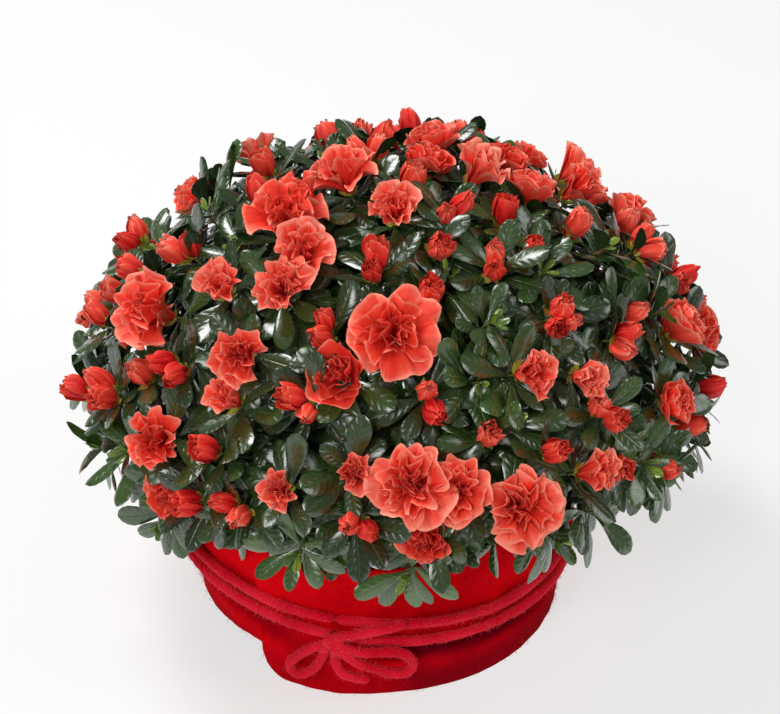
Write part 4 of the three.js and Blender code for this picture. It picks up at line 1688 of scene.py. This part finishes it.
@dataclass
class Wood:
    """The trunk and the boughs with their bark, and the twigs."""

    crown: Crown
    bough_root: float = 3.3
    bough_tip: float = 2.5
    stem_radii: tuple[float, float] = (2.5, 1.3)
    twig_root: float = 1.25
    twig_tip: float = 0.62
    flare: float = 4.6
    flare_height: float = 3.2
    trunk_rows: int = 40
    bough_steps: int = 24
    twig_steps: int = 7

    def trunk(self) -> Piece:
        """Turns the trunk and roughens its bark."""
        crown = self.crown
        profile = [(0.0, crown.soil)]
        for i in range(self.trunk_rows + 1):
            height = crown.soil + (crown.trunk_top - crown.soil) * i / self.trunk_rows
            flare = self.flare * math.exp(-(((height - crown.soil) / self.flare_height)) ** 1.1)
            profile.append((crown.trunk_radius(max(height, 84.0)) + flare, height))
        mesh = turned([*profile, (0.0, crown.trunk_top)], 48)
        for vert in mesh.verts:
            out = Vector((vert.co.x, vert.co.y, 0.0))
            ridge = noise.noise(Vector((vert.co.x * 260, vert.co.y * 260, vert.co.z * 60)))
            lobe = noise.noise(Vector((vert.co.x * 90, vert.co.y * 90, 3.0)))
            vert.co += out * (0.1 * ridge + 0.12 * lobe - 0.06)
            vert.co.x += crown.lean * (vert.co.z - crown.soil * MM)
        return worked("trunk_bark", mesh)

    def bough_line(self, mass: Mass) -> Array:
        """The line of the bough that carries a mass, in millimetres.

        Args:
            mass: The mass.

        Returns:
            Its points, in millimetres.
        """
        height, tilt, _ = mass.bough
        crown = self.crown
        shoulder = height + self.bough_root * math.cos(tilt)
        clear = crown.trunk_radius(shoulder) + 0.3 + self.bough_root * math.sin(tilt)
        start = crown.trunk_axis(shoulder)
        start[2] = height
        start = start + around(mass.azimuth, clear, 0.0)
        end = crown.limb_end(mass)
        third = float(np.linalg.norm(end - start)) / 3
        leaving = start + towards(mass.azimuth, tilt) * third
        arriving = end - mass.direction * third
        t = np.linspace(0, 1, self.bough_steps + 1)[:, None]
        first_half = (1 - t) ** 3 * start + 3 * (1 - t) ** 2 * t * leaving
        return first_half + 3 * (1 - t) * t**2 * arriving + t**3 * end

    def boughs(self) -> Piece:
        """All boughs, with swollen roots and uneven bark."""
        joined = Joined("bough_bark")
        steps = self.bough_steps
        pattern = Pattern.rod(12, steps - 1)
        for i, mass in enumerate(self.crown.masses):
            if not mass.bough:
                continue
            line = self.bough_line(mass) * MM
            share = np.linspace(0, 1, steps + 1)
            radii = (self.bough_root + (self.bough_tip - self.bough_root) * share) * MM
            radii *= 1 + 0.12 * np.sin(share * 17 + i) * share + 0.18 * np.exp(-share * 14)
            points = bent_rods(pattern, line[None], radii[None])
            centres = line[pattern.rings(steps)]
            flakes = [rough(point, 500) * 0.16 for point in points[0]]
            points[0] += (points[0] - centres) * np.array(flakes)[:, None]
            joined.add(pattern, points, green=np.zeros(1))
        return joined.make()

    def twigs(self, whorls: Sequence[Whorl]) -> Piece:
        """A twig to every whorl, and the stem that runs on from each bough.

        Args:
            whorls: The whorls that the twigs end in.

        Returns:
            All of them as one piece.
        """
        joined = Joined("twigs")
        steps = self.twig_steps
        pattern = Pattern.rod(5, steps - 1)
        t = np.linspace(0, 1, steps + 1)[None, :, None]
        take = columns(whorls)
        start, foot, point = (take[name][:, None] for name in ("start", "foot", "point"))
        lines = (1 - t) ** 2 * start + 2 * (1 - t) * t * foot + t**2 * point
        root = self.twig_root - 0.25 * take["layer"][:, None]
        radii = root + (self.twig_tip - root) * t[..., 0] ** 0.8
        green = ramp(pattern.points[:, 2], 0.45, 0.9)[None].repeat(len(whorls), axis=0)
        joined.add(pattern, bent_rods(pattern, lines * MM, radii * MM), green=green)
        thick, thin = self.stem_radii
        for mass in self.crown.masses:
            foot = self.crown.limb_end(mass)
            line = foot + (self.crown.heart(mass) - foot) * t[0]
            radii = thick + (thin - thick) * t[..., 0]
            joined.add(pattern, bent_rods(pattern, line[None] * MM, radii * MM), green=np.zeros(1))
        return joined.make()

    def dress(self, whorls: Sequence[Whorl], nodes: Sequence[str]) -> None:
        """Makes all wood.

        Args:
            whorls: The whorls that carry twigs.
            nodes: The CAD masses that the twigs stand for.
        """
        material = BarkFinish().make()
        boughs = [f"bough_{mass.label}" for mass in self.crown.masses if mass.bough]
        settle(self.trunk(), material, "bark", ["trunk"])
        settle(self.boughs(), material, "bark", boughs)
        settle(self.twigs(whorls), material, "bark", nodes)


# ---- Leaves ----


@dataclass
class Leaf:
    """How one leaf stands and bends, in millimetres and radians."""

    base: Array
    direction: Array
    facing: Array
    length: float
    tint: float
    width: float = 0.0
    bend: float = 0.0
    fold: float = 0.0
    twist: float = 0.0
    phase: float = 0.0


@dataclass
class Leaves:
    """The leaves: obovate, folded a little along the midrib, with recurved tips."""

    crown: Crown
    length: float = 28.0
    width: float = 0.43
    in_ring: dict[Kind, int] = field(
        default_factory=lambda: {Kind.LEAF: 8, Kind.BUD: 7, Kind.BLOOM: 6}
    )
    over_wrap: float = 113.0
    lowest_over_wrap: float = 99.0
    lowest: float = 66.0
    raised_at_left: float = 26.0
    bloom_room: tuple[float, float] = (2.5, 30.0)
    bloom_share: float = 0.42
    rows: list[Leaf] = field(default_factory=list)
    pattern: Pattern = field(default_factory=Pattern.leaf)
    bloom_points: Array = field(init=False)
    bloom_axes: Array = field(init=False)
    bloom_widths: Array = field(init=False)

    def __post_init__(self) -> None:
        """Notes where the open blooms stand."""
        blooms = columns([whorl for whorl in self.crown.grow() if whorl.kind is Kind.BLOOM])
        self.bloom_points, self.bloom_axes = blooms["point"], blooms["axis"]
        self.bloom_widths = blooms["width"]

    def fits(self, base: Array, tip: Array) -> bool:
        """Tells whether a leaf keeps inside the crown and clear of the wrap and the blooms.

        Args:
            base: Its foot.
            tip: Its tip.

        Returns:
            True where it does.
        """
        for share in (0.5, 0.8, 1.0):
            point = base + (tip - base) * share
            out = point - self.crown.centre
            far = max(float(np.linalg.norm(out)), TINY)
            stray = 1.015 + 0.04 * (1 - abs(out[2]) / far)
            if far > self.crown.reach(out / far) * stray:
                return False
            over_wrap = math.hypot(point[0], point[1]) < self.over_wrap
            at_left = bump(bearing(math.atan2(point[1], point[0])), 203.0, 17.0)
            lowest = self.lowest + self.raised_at_left * at_left
            if point[2] < (self.lowest_over_wrap if over_wrap else lowest):
                return False
            apart = point - self.bloom_points
            ahead = np.sum(apart * self.bloom_axes, axis=1)
            aside = np.linalg.norm(apart - ahead[:, None] * self.bloom_axes, axis=1)
            near, far_off = self.bloom_room
            above = (ahead > near) & (ahead < far_off)
            if np.any(above & (aside < self.bloom_widths * self.bloom_share)):
                return False
        return True

    def add(
        self, base: Array, direction: Array, facing: Array, size: float, tint: float,
        twig: int, number: int,
    ) -> None:
        """Adds one leaf if it fits, drawn in a little if that helps.

        Args:
            base: Where it grows, in millimetres.
            direction: Where its tip points.
            facing: Where its upper side faces.
            size: Its size against the usual leaf.
            tint: Its green, from 0, darkest, to 1, youngest.
            twig: The twig that it grows on.
            number: Which of the twig's leaves it is.
        """
        for shrink in (1.0, 0.84):
            length = self.length * size * shrink
            if self.fits(base, base + direction * length):
                leaf = Leaf(base, direction, facing, length, tint)
                leaf.width = length * self.width * (1 + spread(twig, 300 + number, 0.14))
                leaf.bend = 0.12 + spread(twig, 330 + number, 0.12)
                leaf.fold = 0.3 + spread(twig, 360 + number, 0.2)
                leaf.twist = spread(twig, 390 + number, 0.5)
                leaf.phase = chance(twig, 420 + number) * ANY_TURN
                self.rows.append(leaf)
                return

    def clothe(self, whorl: Whorl) -> None:
        """Stands the leaves of one whorl: a ring at the tip, and more down its twig.

        Args:
            whorl: The whorl.
        """
        twig = whorl.twig
        count = self.in_ring[whorl.kind] + int(chance(twig, 5) * 2.99)
        down = 5 if whorl.layer == 0 else 3
        first, second = square_to(whorl.axis[None], UP[None])
        low = float(ramp(-whorl.elevation, -0.15, 0.35))
        leafy = whorl.kind is Kind.LEAF
        tint = 0.05 + 0.3 * chance(twig, 6) + 0.22 * low + (0.12 if leafy else 0.0)
        larger = 1.06 if whorl.kind is Kind.BLOOM else 1.0
        for j in range(count + down):
            lower = j >= count
            out = spoke(first[0], second[0], j * GOLDEN_ANGLE + TURN * chance(twig, 7))
            flare = 70 if lower else 52 + 26 * (j % 3) / 2
            tilt = math.radians(flare + spread(twig, 50 + j, 12))
            direction = unit(spoke(whorl.axis, out, tilt) - UP * (0.1 + 0.2 * low))
            below = 11 + 5 * (j - count) if lower else 1.5 + 0.9 * j
            base = whorl.point - whorl.axis * below + out * 0.7
            facing, _ = square_to(direction[None], (whorl.axis + UP * 0.35)[None])
            size = (0.78 + 0.36 * chance(twig, 80 + j)) * larger
            shade = tint + spread(twig, 110 + j, 0.08)
            self.add(base, direction, facing[0], size, shade, twig, j)
        if leafy and whorl.layer == 0:
            self.add_shoot(whorl, first[0], second[0])

    def add_shoot(self, whorl: Whorl, first: Array, second: Array) -> None:
        """Adds the small fresh leaves in the heart of a leafy whorl.

        Args:
            whorl: The whorl.
            first: A direction square to its axis.
            second: The direction square to both.
        """
        for j in range(4):
            out = spoke(first, second, j * GOLDEN_ANGLE + 3 * chance(whorl.twig, 8))
            tilt = math.radians(18 + 14 * chance(whorl.twig, 140 + j))
            direction = spoke(whorl.axis, out, tilt)
            facing, _ = square_to(direction[None], -out[None])
            size = 0.24 + 0.22 * chance(whorl.twig, 150 + j)
            tint = 0.62 + 0.34 * chance(whorl.twig, 160 + j)
            self.add(whorl.point, direction, facing[0], size, tint, whorl.twig, 20 + j)

    def bent(self, rows: Sequence[Leaf]) -> Array:
        """The points of some leaves, in metres.

        Args:
            rows: The leaves.

        Returns:
            The points of each leaf.
        """
        u, t = self.pattern.points[:, 0][None], self.pattern.points[:, 1][None]
        take = columns(rows)
        column = {name: values[:, None] for name, values in take.items()}
        length, width, bend = column["length"], column["width"], column["bend"]
        blade = np.clip((t - 0.07) / 0.93, 0, 1)
        outline = np.maximum(blade**0.85 * np.maximum(1 - blade**3.6, 0) ** 0.62 / 0.66, 0.06)
        x = outline * width / 2 * u
        y = length * (t - 0.25 * bend * t**2)
        z = -bend * length * t**2.2 + column["fold"] * np.abs(x)
        z = z - 0.22 * width * outline * np.abs(u) ** 2.5
        ripple = np.sin(t * 15 + column["phase"] + u * 1.3)
        z = z + 0.022 * width * ripple * np.abs(u) * outline
        angle = column["twist"] * t
        x, z = x * np.cos(angle) - z * np.sin(angle), x * np.sin(angle) + z * np.cos(angle)
        across = np.cross(take["direction"], take["facing"])[:, None]
        points = column["base"] + across * x[..., None] + column["direction"] * y[..., None]
        return (points + column["facing"] * z[..., None]) * MM

    def dress(self, nodes: dict[str, list[str]]) -> None:
        """Joins the leaves of each ring into one piece and dresses it.

        Args:
            nodes: The CAD masses that each ring's leaves stand for.
        """
        material = LeafFinish().make()
        groups: dict[str, list[Leaf]] = {name: [] for name in nodes}
        for leaf in self.rows:
            label = self.crown.mass_at(unit(leaf.base - self.crown.centre)).label
            groups["lower" if label.startswith("lower") else "upper"].append(leaf)
        for name, rows in groups.items():
            joined = Joined(f"leaves_{name}")
            tints = np.clip([leaf.tint for leaf in rows], 0, 1)
            joined.add(self.pattern, self.bent(rows), tint=tints)
            LOG.info("leaves_%s: %d leaves", name, len(rows))
            settle(joined.make(), material, "foliage", nodes[name])


# ---- Petals, buds and blooms ----


@dataclass(frozen=True, kw_only=True)
class Shape:
    """How a petal is shaped, in millimetres and in radians from its flower's axis."""

    length: float
    leave: float
    arrive: float
    half: float
    dark: float
    light: float
    belly: float = 0.0
    inside: float = 0.4
    round_off: float = 0.3
    corner: float = 2.4
    ruffle: float = 0.0
    folds: float = 3.0
    lap: float = 0.4
    twist: float = 0.0
    narrow: float = 0.0
    cup: float = 0.0
    crimp: float = 0.0
    pleat: float = 0.0


@dataclass(frozen=True, kw_only=True)
class Petal(Shape):
    """One petal at its place in a flower."""

    base: Array
    axis: Array
    turn: float
    phase: float = 0.0


@dataclass(frozen=True, kw_only=True)
class Ring(Shape):
    """One ring of petals of the same shape."""

    corner: float = 4.0
    count: int = 5
    lift: float = 0.0
    loose: float = 0.1
    stray: float = 0.0


@dataclass
class Petals:
    """Petals of every sort, each a sheet that is bent round its flower's axis."""

    pattern: Pattern
    rows: list[Petal] = field(default_factory=list)
    samples: int = 32
    lobes: float = 0.035

    def bent(self) -> tuple[Array, Array]:
        """The points of all petals, in metres, and their tone: partly their own colour, partly
        painted shade and highlight.

        Returns:
            The points and their tone, with painted shade in the throat and in the hollows of the
            folds.
        """
        u, t = self.pattern.points[:, 0][None], self.pattern.points[:, 1][None]
        take = columns(self.rows)
        column = {name: values[:, None] for name, values in take.items()}
        s = np.linspace(0, 1, self.samples + 1)[None]
        angle = column["leave"] + (column["arrive"] - column["leave"]) * s
        angle = angle + column["belly"] * 4 * s * (1 - s)
        step = column["length"] / self.samples
        out = np.cumsum(np.sin(angle) * step, axis=1) - np.sin(angle[:, :1]) * step
        up = np.cumsum(np.cos(angle) * step, axis=1) - np.cos(angle[:, :1]) * step
        along = t * (1 - column["round_off"] * np.abs(u) ** column["corner"] * t**2)
        along = along * (1 + self.lobes * np.sin(u * 6 + column["phase"] * 3) * t**3)
        mark = np.clip(along, 0, 1) * self.samples
        low = np.clip(mark.astype(int), 0, self.samples - 1)
        part = mark - low
        rows = np.arange(len(self.rows))[:, None]

        def read(table: Array) -> Array:
            """Reads a table between its samples."""
            return table[rows, low] * (1 - part) + table[rows, low + 1] * part

        lean = read(angle)
        radius, height = read(out) + column["inside"], read(up)
        phase = column["phase"]
        waves = math.pi * column["folds"] * u
        wave = np.sin(waves + phase) + 0.32 * np.sin(waves * 2.1 + phase * 2.3 + 4 * t)
        push = column["ruffle"] * t**2.2 * wave + column["lap"] * u
        push = push - column["cup"] * u**2 * t**1.5
        push = push + column["crimp"] * t**5 * np.sin(10 * u + phase * 5)
        ridge = np.clip(t * 3, 0, 1) * np.sin(6.2 * u + phase * 7 + 1.8 * t)
        push = push + column["pleat"] * ridge
        radius = np.maximum(radius + push * np.cos(lean), 0.15)
        height = height - push * np.sin(lean)
        half = column["half"] * (1 - column["narrow"] * np.clip(t, 0, 1) ** 1.5)
        azimuth = column["turn"] + u * half * np.sqrt(np.clip(0.25 + t * 1.4, 0, 1))
        azimuth = (azimuth + column["twist"] * t)[..., None]
        first, second = square_to(take["axis"], np.broadcast_to(UP, take["axis"].shape))
        outward = first[:, None] * np.cos(azimuth) + second[:, None] * np.sin(azimuth)
        points = column["base"] + outward * radius[..., None]
        points = points + column["axis"] * height[..., None]
        # Darker at each petal's foot and paler to its tip: partly the petal's own colour, partly
        # painted shade deep in the flower.
        edge = np.clip(0.9 * t**1.2 + 0.12 * np.abs(u) ** 3 * t, 0, 1)
        blush = column["dark"] + (column["light"] - column["dark"]) * edge
        # Painted shade and highlight: darker in the hollows of the pleats and ruffles, lighter on
        # their ridges.
        blush = blush + 0.11 * (ridge * np.clip(column["pleat"] * 2, 0, 1) + 0.5 * wave * t**2)
        return points * MM, blush


@dataclass
class Flowers:
    """The buds with their scales, and the double blooms."""

    broad: Petals = field(default_factory=lambda: Petals(Pattern.sheet(16, 9)))
    inner: Petals = field(default_factory=lambda: Petals(Pattern.sheet(13, 7)))
    small: Petals = field(default_factory=lambda: Petals(Pattern.sheet(12, 8)))
    tips: Petals = field(default_factory=lambda: Petals(Pattern.sheet(6, 6)))
    scales: Petals = field(default_factory=lambda: Petals(Pattern.sheet(2, 4)))

    def add_scales(self, twig: int, base: Array, axis: Array, size: float) -> None:
        """Adds the yellow-green scales round the foot of a bud or bloom.

        Args:
            twig: The twig that it grows on.
            base: Its foot, in millimetres.
            axis: Where it points.
            size: How long the scales are.
        """
        for j in range(7):
            length = size * (0.75 + 0.5 * chance(twig, 500 + j))
            self.scales.rows.append(
                Petal(
                    base=base - axis * 1.2,
                    axis=axis, turn=j * GOLDEN_ANGLE, length=length, leave=1.35, belly=-0.1,
                    arrive=0.4 + spread(twig, 510 + j, 0.45), half=0.62,
                    inside=0.4 + 0.15 * (j % 3), round_off=0.2, narrow=0.86,
                    dark=0.0 if chance(twig, 520 + j) < 0.7 else 0.25,
                    light=0.1 if chance(twig, 530 + j) < 0.75 else 0.8,
                )
            )

    def add_ring(
        self, petals: Petals, ring: Ring, seed: tuple[int, int], base: Array, axis: Array
    ) -> None:
        """Stands one ring of petals round a flower's axis.

        Args:
            petals: The sort of petal.
            ring: How the ring's petals stand.
            seed: The twig, and the first of the numbers that its chances go by.
            base: The flower's foot, in millimetres.
            axis: Where the flower points.
        """
        twig, first = seed
        whole = ANY_TURN * chance(twig, first)
        for j in range(ring.count):
            key = first + 1 + 4 * j
            swing = around(ANY_TURN * chance(twig, key + 2), ring.stray, 0.0)
            shape = {item.name: getattr(ring, item.name) for item in fields(Shape)}
            shape["length"] *= 1 + spread(twig, key + 1, 0.09)
            shape["arrive"] += spread(twig, key + 2, ring.loose)
            shape["half"] *= 1 + spread(twig, key + 3, 0.12)
            shape["folds"] *= 0.8 + 0.4 * chance(twig, key + 1)
            shape["cup"] = spread(twig, key + 3, ring.cup)
            petals.rows.append(
                Petal(
                    base=base + axis * ring.lift,
                    axis=unit(axis + swing),
                    turn=j * TURN / ring.count + spread(twig, key, 0.3) + whole,
                    phase=chance(twig, key) * ANY_TURN,
                    **shape,
                )
            )

    def add_bud(self, twig: int, number: int, base: Array, axis: Array) -> None:
        """Adds one bud at its own stage, closed or with its petals just parting.

        Args:
            twig: The twig that it grows on.
            number: Which of the twig's buds it is.
            base: Its foot, in millimetres.
            axis: Where it points.
        """
        key = 600 + 120 * number
        pick = chance(twig, key)
        opened = 0.12 * pick if pick < 0.6 else 0.34 * pick
        size = 0.67 + 0.2 * chance(twig, key + 1) - 0.05 * number
        warm = spread(twig, key + 2, 0.17)
        # length, leave, closing, half, dark, light
        # The inner rings are deeper red: partly the bud's own colour, partly painted shade.
        rows = (
            (22.5, 1.0, 0.84, 0.92, 0.3, 0.6),
            (22.0, 0.84, 0.66, 0.86, 0.22, 0.6),
            (21.4, 0.6, 0.48, 0.8, 0.14, 0.62),
            (20.6, 0.36, 0.26, 0.9, 0.05, 0.6),
        )
        for i, (length, leave, closing, half, dark, light) in enumerate(rows):
            ring = Ring(
                length=length * size, leave=leave, arrive=-closing + opened * (1.5 - 0.3 * i),
                half=half, lift=0.4 * i, inside=0.9 - 0.2 * i, belly=-0.02 - 0.2 * opened,
                round_off=0.24, ruffle=0.5 + 1.2 * opened, folds=1.5 + 0.25 * i,
                lap=0.95 - 0.15 * i, twist=0.4, crimp=0.14, pleat=0.36 - 0.06 * i, cup=0.5,
                dark=dark + warm, light=light + warm,
            )
            petals = self.tips if i else self.small
            self.add_ring(petals, ring, (twig, key + 3 + 24 * i), base, axis)
        self.add_scales(twig + number, base, axis, 10.5 * size)

    def add_rosette(self, twig: int, base: Array, axis: Array) -> None:
        """Adds a half-open flower: upright ruffled petals, packed like a small rose.

        Args:
            twig: The twig that it grows on.
            base: Its foot, in millimetres.
            axis: Where it points.
        """
        size = 0.74 + 0.22 * chance(twig, 601)
        warm = spread(twig, 602, 0.08)
        # length, leave, arrive, half, ruffle, dark, light
        # The inner rings are deeper red: partly the flower's own colour, partly painted shade.
        rows = (
            (22.0, 1.0, 0.5, 0.95, 1.7, 0.3, 0.76),
            (21.6, 0.88, 0.22, 0.9, 1.7, 0.2, 0.74),
            (20.8, 0.7, 0.0, 0.86, 1.5, 0.12, 0.72),
            (20.0, 0.48, -0.14, 0.9, 1.2, 0.04, 0.7),
            (19.0, 0.26, -0.1, 1.0, 0.9, 0.0, 0.66),
        )
        for i, (length, leave, arrive, half, ruffle, dark, light) in enumerate(rows):
            ring = Ring(
                length=length * size, leave=leave, arrive=arrive, half=half, lift=0.5 * i,
                inside=1.0 - 0.15 * i, round_off=0.2, ruffle=ruffle, folds=1.5, lap=0.8,
                twist=0.3, crimp=0.25, pleat=0.3, cup=1.0, loose=0.22, stray=0.06, dark=dark,
                light=light + warm,
            )
            petals = self.inner if i else self.broad
            self.add_ring(petals, ring, (twig, 603 + 24 * i), base, axis)
        self.add_scales(twig, base, axis, 9.5 * size)

    def add_bloom(self, whorl: Whorl) -> None:
        """Adds an open double bloom: broad wavy petals outside and ruffled ones within.

        Args:
            whorl: The whorl that it opens at.
        """
        twig, width = whorl.twig, whorl.width
        base = whorl.point - whorl.axis
        large = width / 50
        full = float(ramp(width, 31, 50))
        warm = spread(twig, 700, 0.13)
        # count, share of the length, leave, arrive, half, ruffle, dark, light
        # The inner rings are deeper red: partly the bloom's own colour, partly painted shade.
        rows = (
            (5, 1.0, 0.42, 1.32 - 0.8 * (1 - full), 0.84, 3.8, 0.4, 0.88),
            (5, 0.95, 0.34, 0.98 - 0.6 * (1 - full), 0.8, 4.0, 0.26, 0.84),
            (5, 0.86, 0.28, 0.66 - 0.4 * (1 - full), 0.76, 3.4, 0.12, 0.8),
            (5, 0.77, 0.2, 0.38 - 0.2 * (1 - full), 0.76, 2.6, 0.03, 0.7),
            (4, 0.7, 0.08, 0.06, 1.0, 2.0, 0.0, 0.62),
        )
        for i, (count, share, leave, arrive, half, ruffle, dark, light) in enumerate(rows):
            ring = Ring(
                count=count, length=width * (0.64 - 0.09 * full) * share, leave=leave,
                arrive=arrive, half=half, lift=0.7 * i, inside=1.0 - 0.15 * i, belly=-0.05,
                round_off=0.22, ruffle=ruffle * large**2, folds=1.8, lap=0.8,
                crimp=0.3 * large, pleat=0.35, cup=2.2 * large, loose=0.3, stray=0.14,
                dark=dark, light=light + warm,
            )
            petals = self.broad if i < 2 else self.inner
            self.add_ring(petals, ring, (twig, 701 + 32 * i), base, whorl.axis)
        self.add_scales(twig, base, whorl.axis, 8.0)

    def open_at(self, whorl: Whorl) -> None:
        """Adds what stands at a whorl's tip.

        Args:
            whorl: The whorl.
        """
        twig = whorl.twig
        if whorl.kind is Kind.BLOOM:
            self.add_bloom(whorl)
            return
        if chance(twig, 19) > 0.83:
            self.add_rosette(twig, whorl.point - whorl.axis * 2.0, whorl.axis)
            return
        count = 1
        if not whorl.layer:
            count += int(chance(twig, 20) > 0.38) + int(chance(twig, 21) > 0.8)
        first, second = square_to(whorl.axis[None], UP[None])
        for number in range(count):
            turn = number * TURN / count + ANY_TURN * chance(twig, 22)
            out = spoke(first[0], second[0], turn)
            apart = 0.0 if count == 1 else 0.36 + spread(twig, 23 + number, 0.08)
            base = whorl.point + out * (0.0 if count == 1 else 2.6)
            self.add_bud(twig, number, base, unit(whorl.axis + out * apart))

    def dress(self, nodes: Sequence[str]) -> None:
        """Joins blooms, buds and scales, each kind apart, and dresses them.

        Args:
            nodes: The CAD masses that they stand for.
        """
        silk = PetalFinish().make()
        scale = ScaleFinish().make()
        for name, petals, material, number, slot in (
            ("bloom_petals", self.broad, silk, "blush", "petal"),
            ("bloom_hearts", self.inner, silk, "blush", "petal"),
            ("bud_petals", self.small, silk, "blush", "petal"),
            ("bud_tips", self.tips, silk, "blush", "petal"),
            ("bud_scales", self.scales, scale, "tint", "scale"),
        ):
            points, values = petals.bent()
            joined = Joined(name)
            joined.add(petals.pattern, points, **{number: values})
            settle(joined.make(), material, slot, nodes)


# ---- The whole ----


def main() -> None:
    """Builds and dresses the plant and its pot."""
    logging.basicConfig(level=logging.INFO, format="%(message)s")
    studio = Studio()
    studio.add_camera()
    wool = WoolFinish(
        "wool_cord", deep=(0.64, 0.003, 0.02), body=(0.84, 0.014, 0.04),
        fibre=(0.97, 0.17, 0.19), haze=0.3, fibres=1100.0, depth=0.0011,
    )
    haze = WoolFinish(
        "wool_fibres", deep=(0.84, 0.06, 0.08), body=(0.92, 0.12, 0.14),
        fibre=(0.97, 0.3, 0.3), haze=0.2,
    )
    felt = WoolFinish(
        "wool_felt", deep=(0.55, 0.0, 0.004), body=(0.75, 0.0005, 0.005),
        # shade: painted shade in the felt's creases and towards its hem.
        fibre=(0.82, 0.008, 0.014), shade=(0.15, 0.0, 0.006),
    )
    down = WoolFinish(
        "felt_down", deep=(0.66, 0.003, 0.012), body=(0.76, 0.015, 0.03),
        fibre=(0.85, 0.07, 0.09), haze=0.1,
    )
    wrap = Wrap()
    Cord(wrap).dress(wool.make(), haze.make())
    wrap.dress(felt.make(), down.make())
    Pot().dress()
    crown = Crown()
    outer = crown.grow()
    inner = crown.grow_buds(count=260, first=1000, others=outer, apart=24.0)
    deeper, deepest = math.radians(4), math.radians(2)
    inner += crown.grow_inner(count=120, first=400, layer=1, set_back=44.0, deeper=deeper)
    inner += crown.grow_inner(count=70, first=700, layer=2, set_back=72.0, deeper=deepest)
    lower = [f"foliage_{mass.label}" for mass in crown.masses if mass.label.startswith("lower")]
    upper = [f"foliage_{mass.label}" for mass in crown.masses if not mass.label.startswith("lower")]
    Wood(crown).dress([*outer, *inner], [*lower, *upper])
    leaves = Leaves(crown)
    flowers = Flowers()
    for whorl in [*outer, *inner]:
        leaves.clothe(whorl)
        if whorl.kind is not Kind.LEAF:
            flowers.open_at(whorl)
    leaves.dress({"lower": lower, "upper": upper})
    flowers.dress([*lower, *upper])
    studio.lay_floor()
    studio.light_up()


if __name__ == "__main__":
    main()
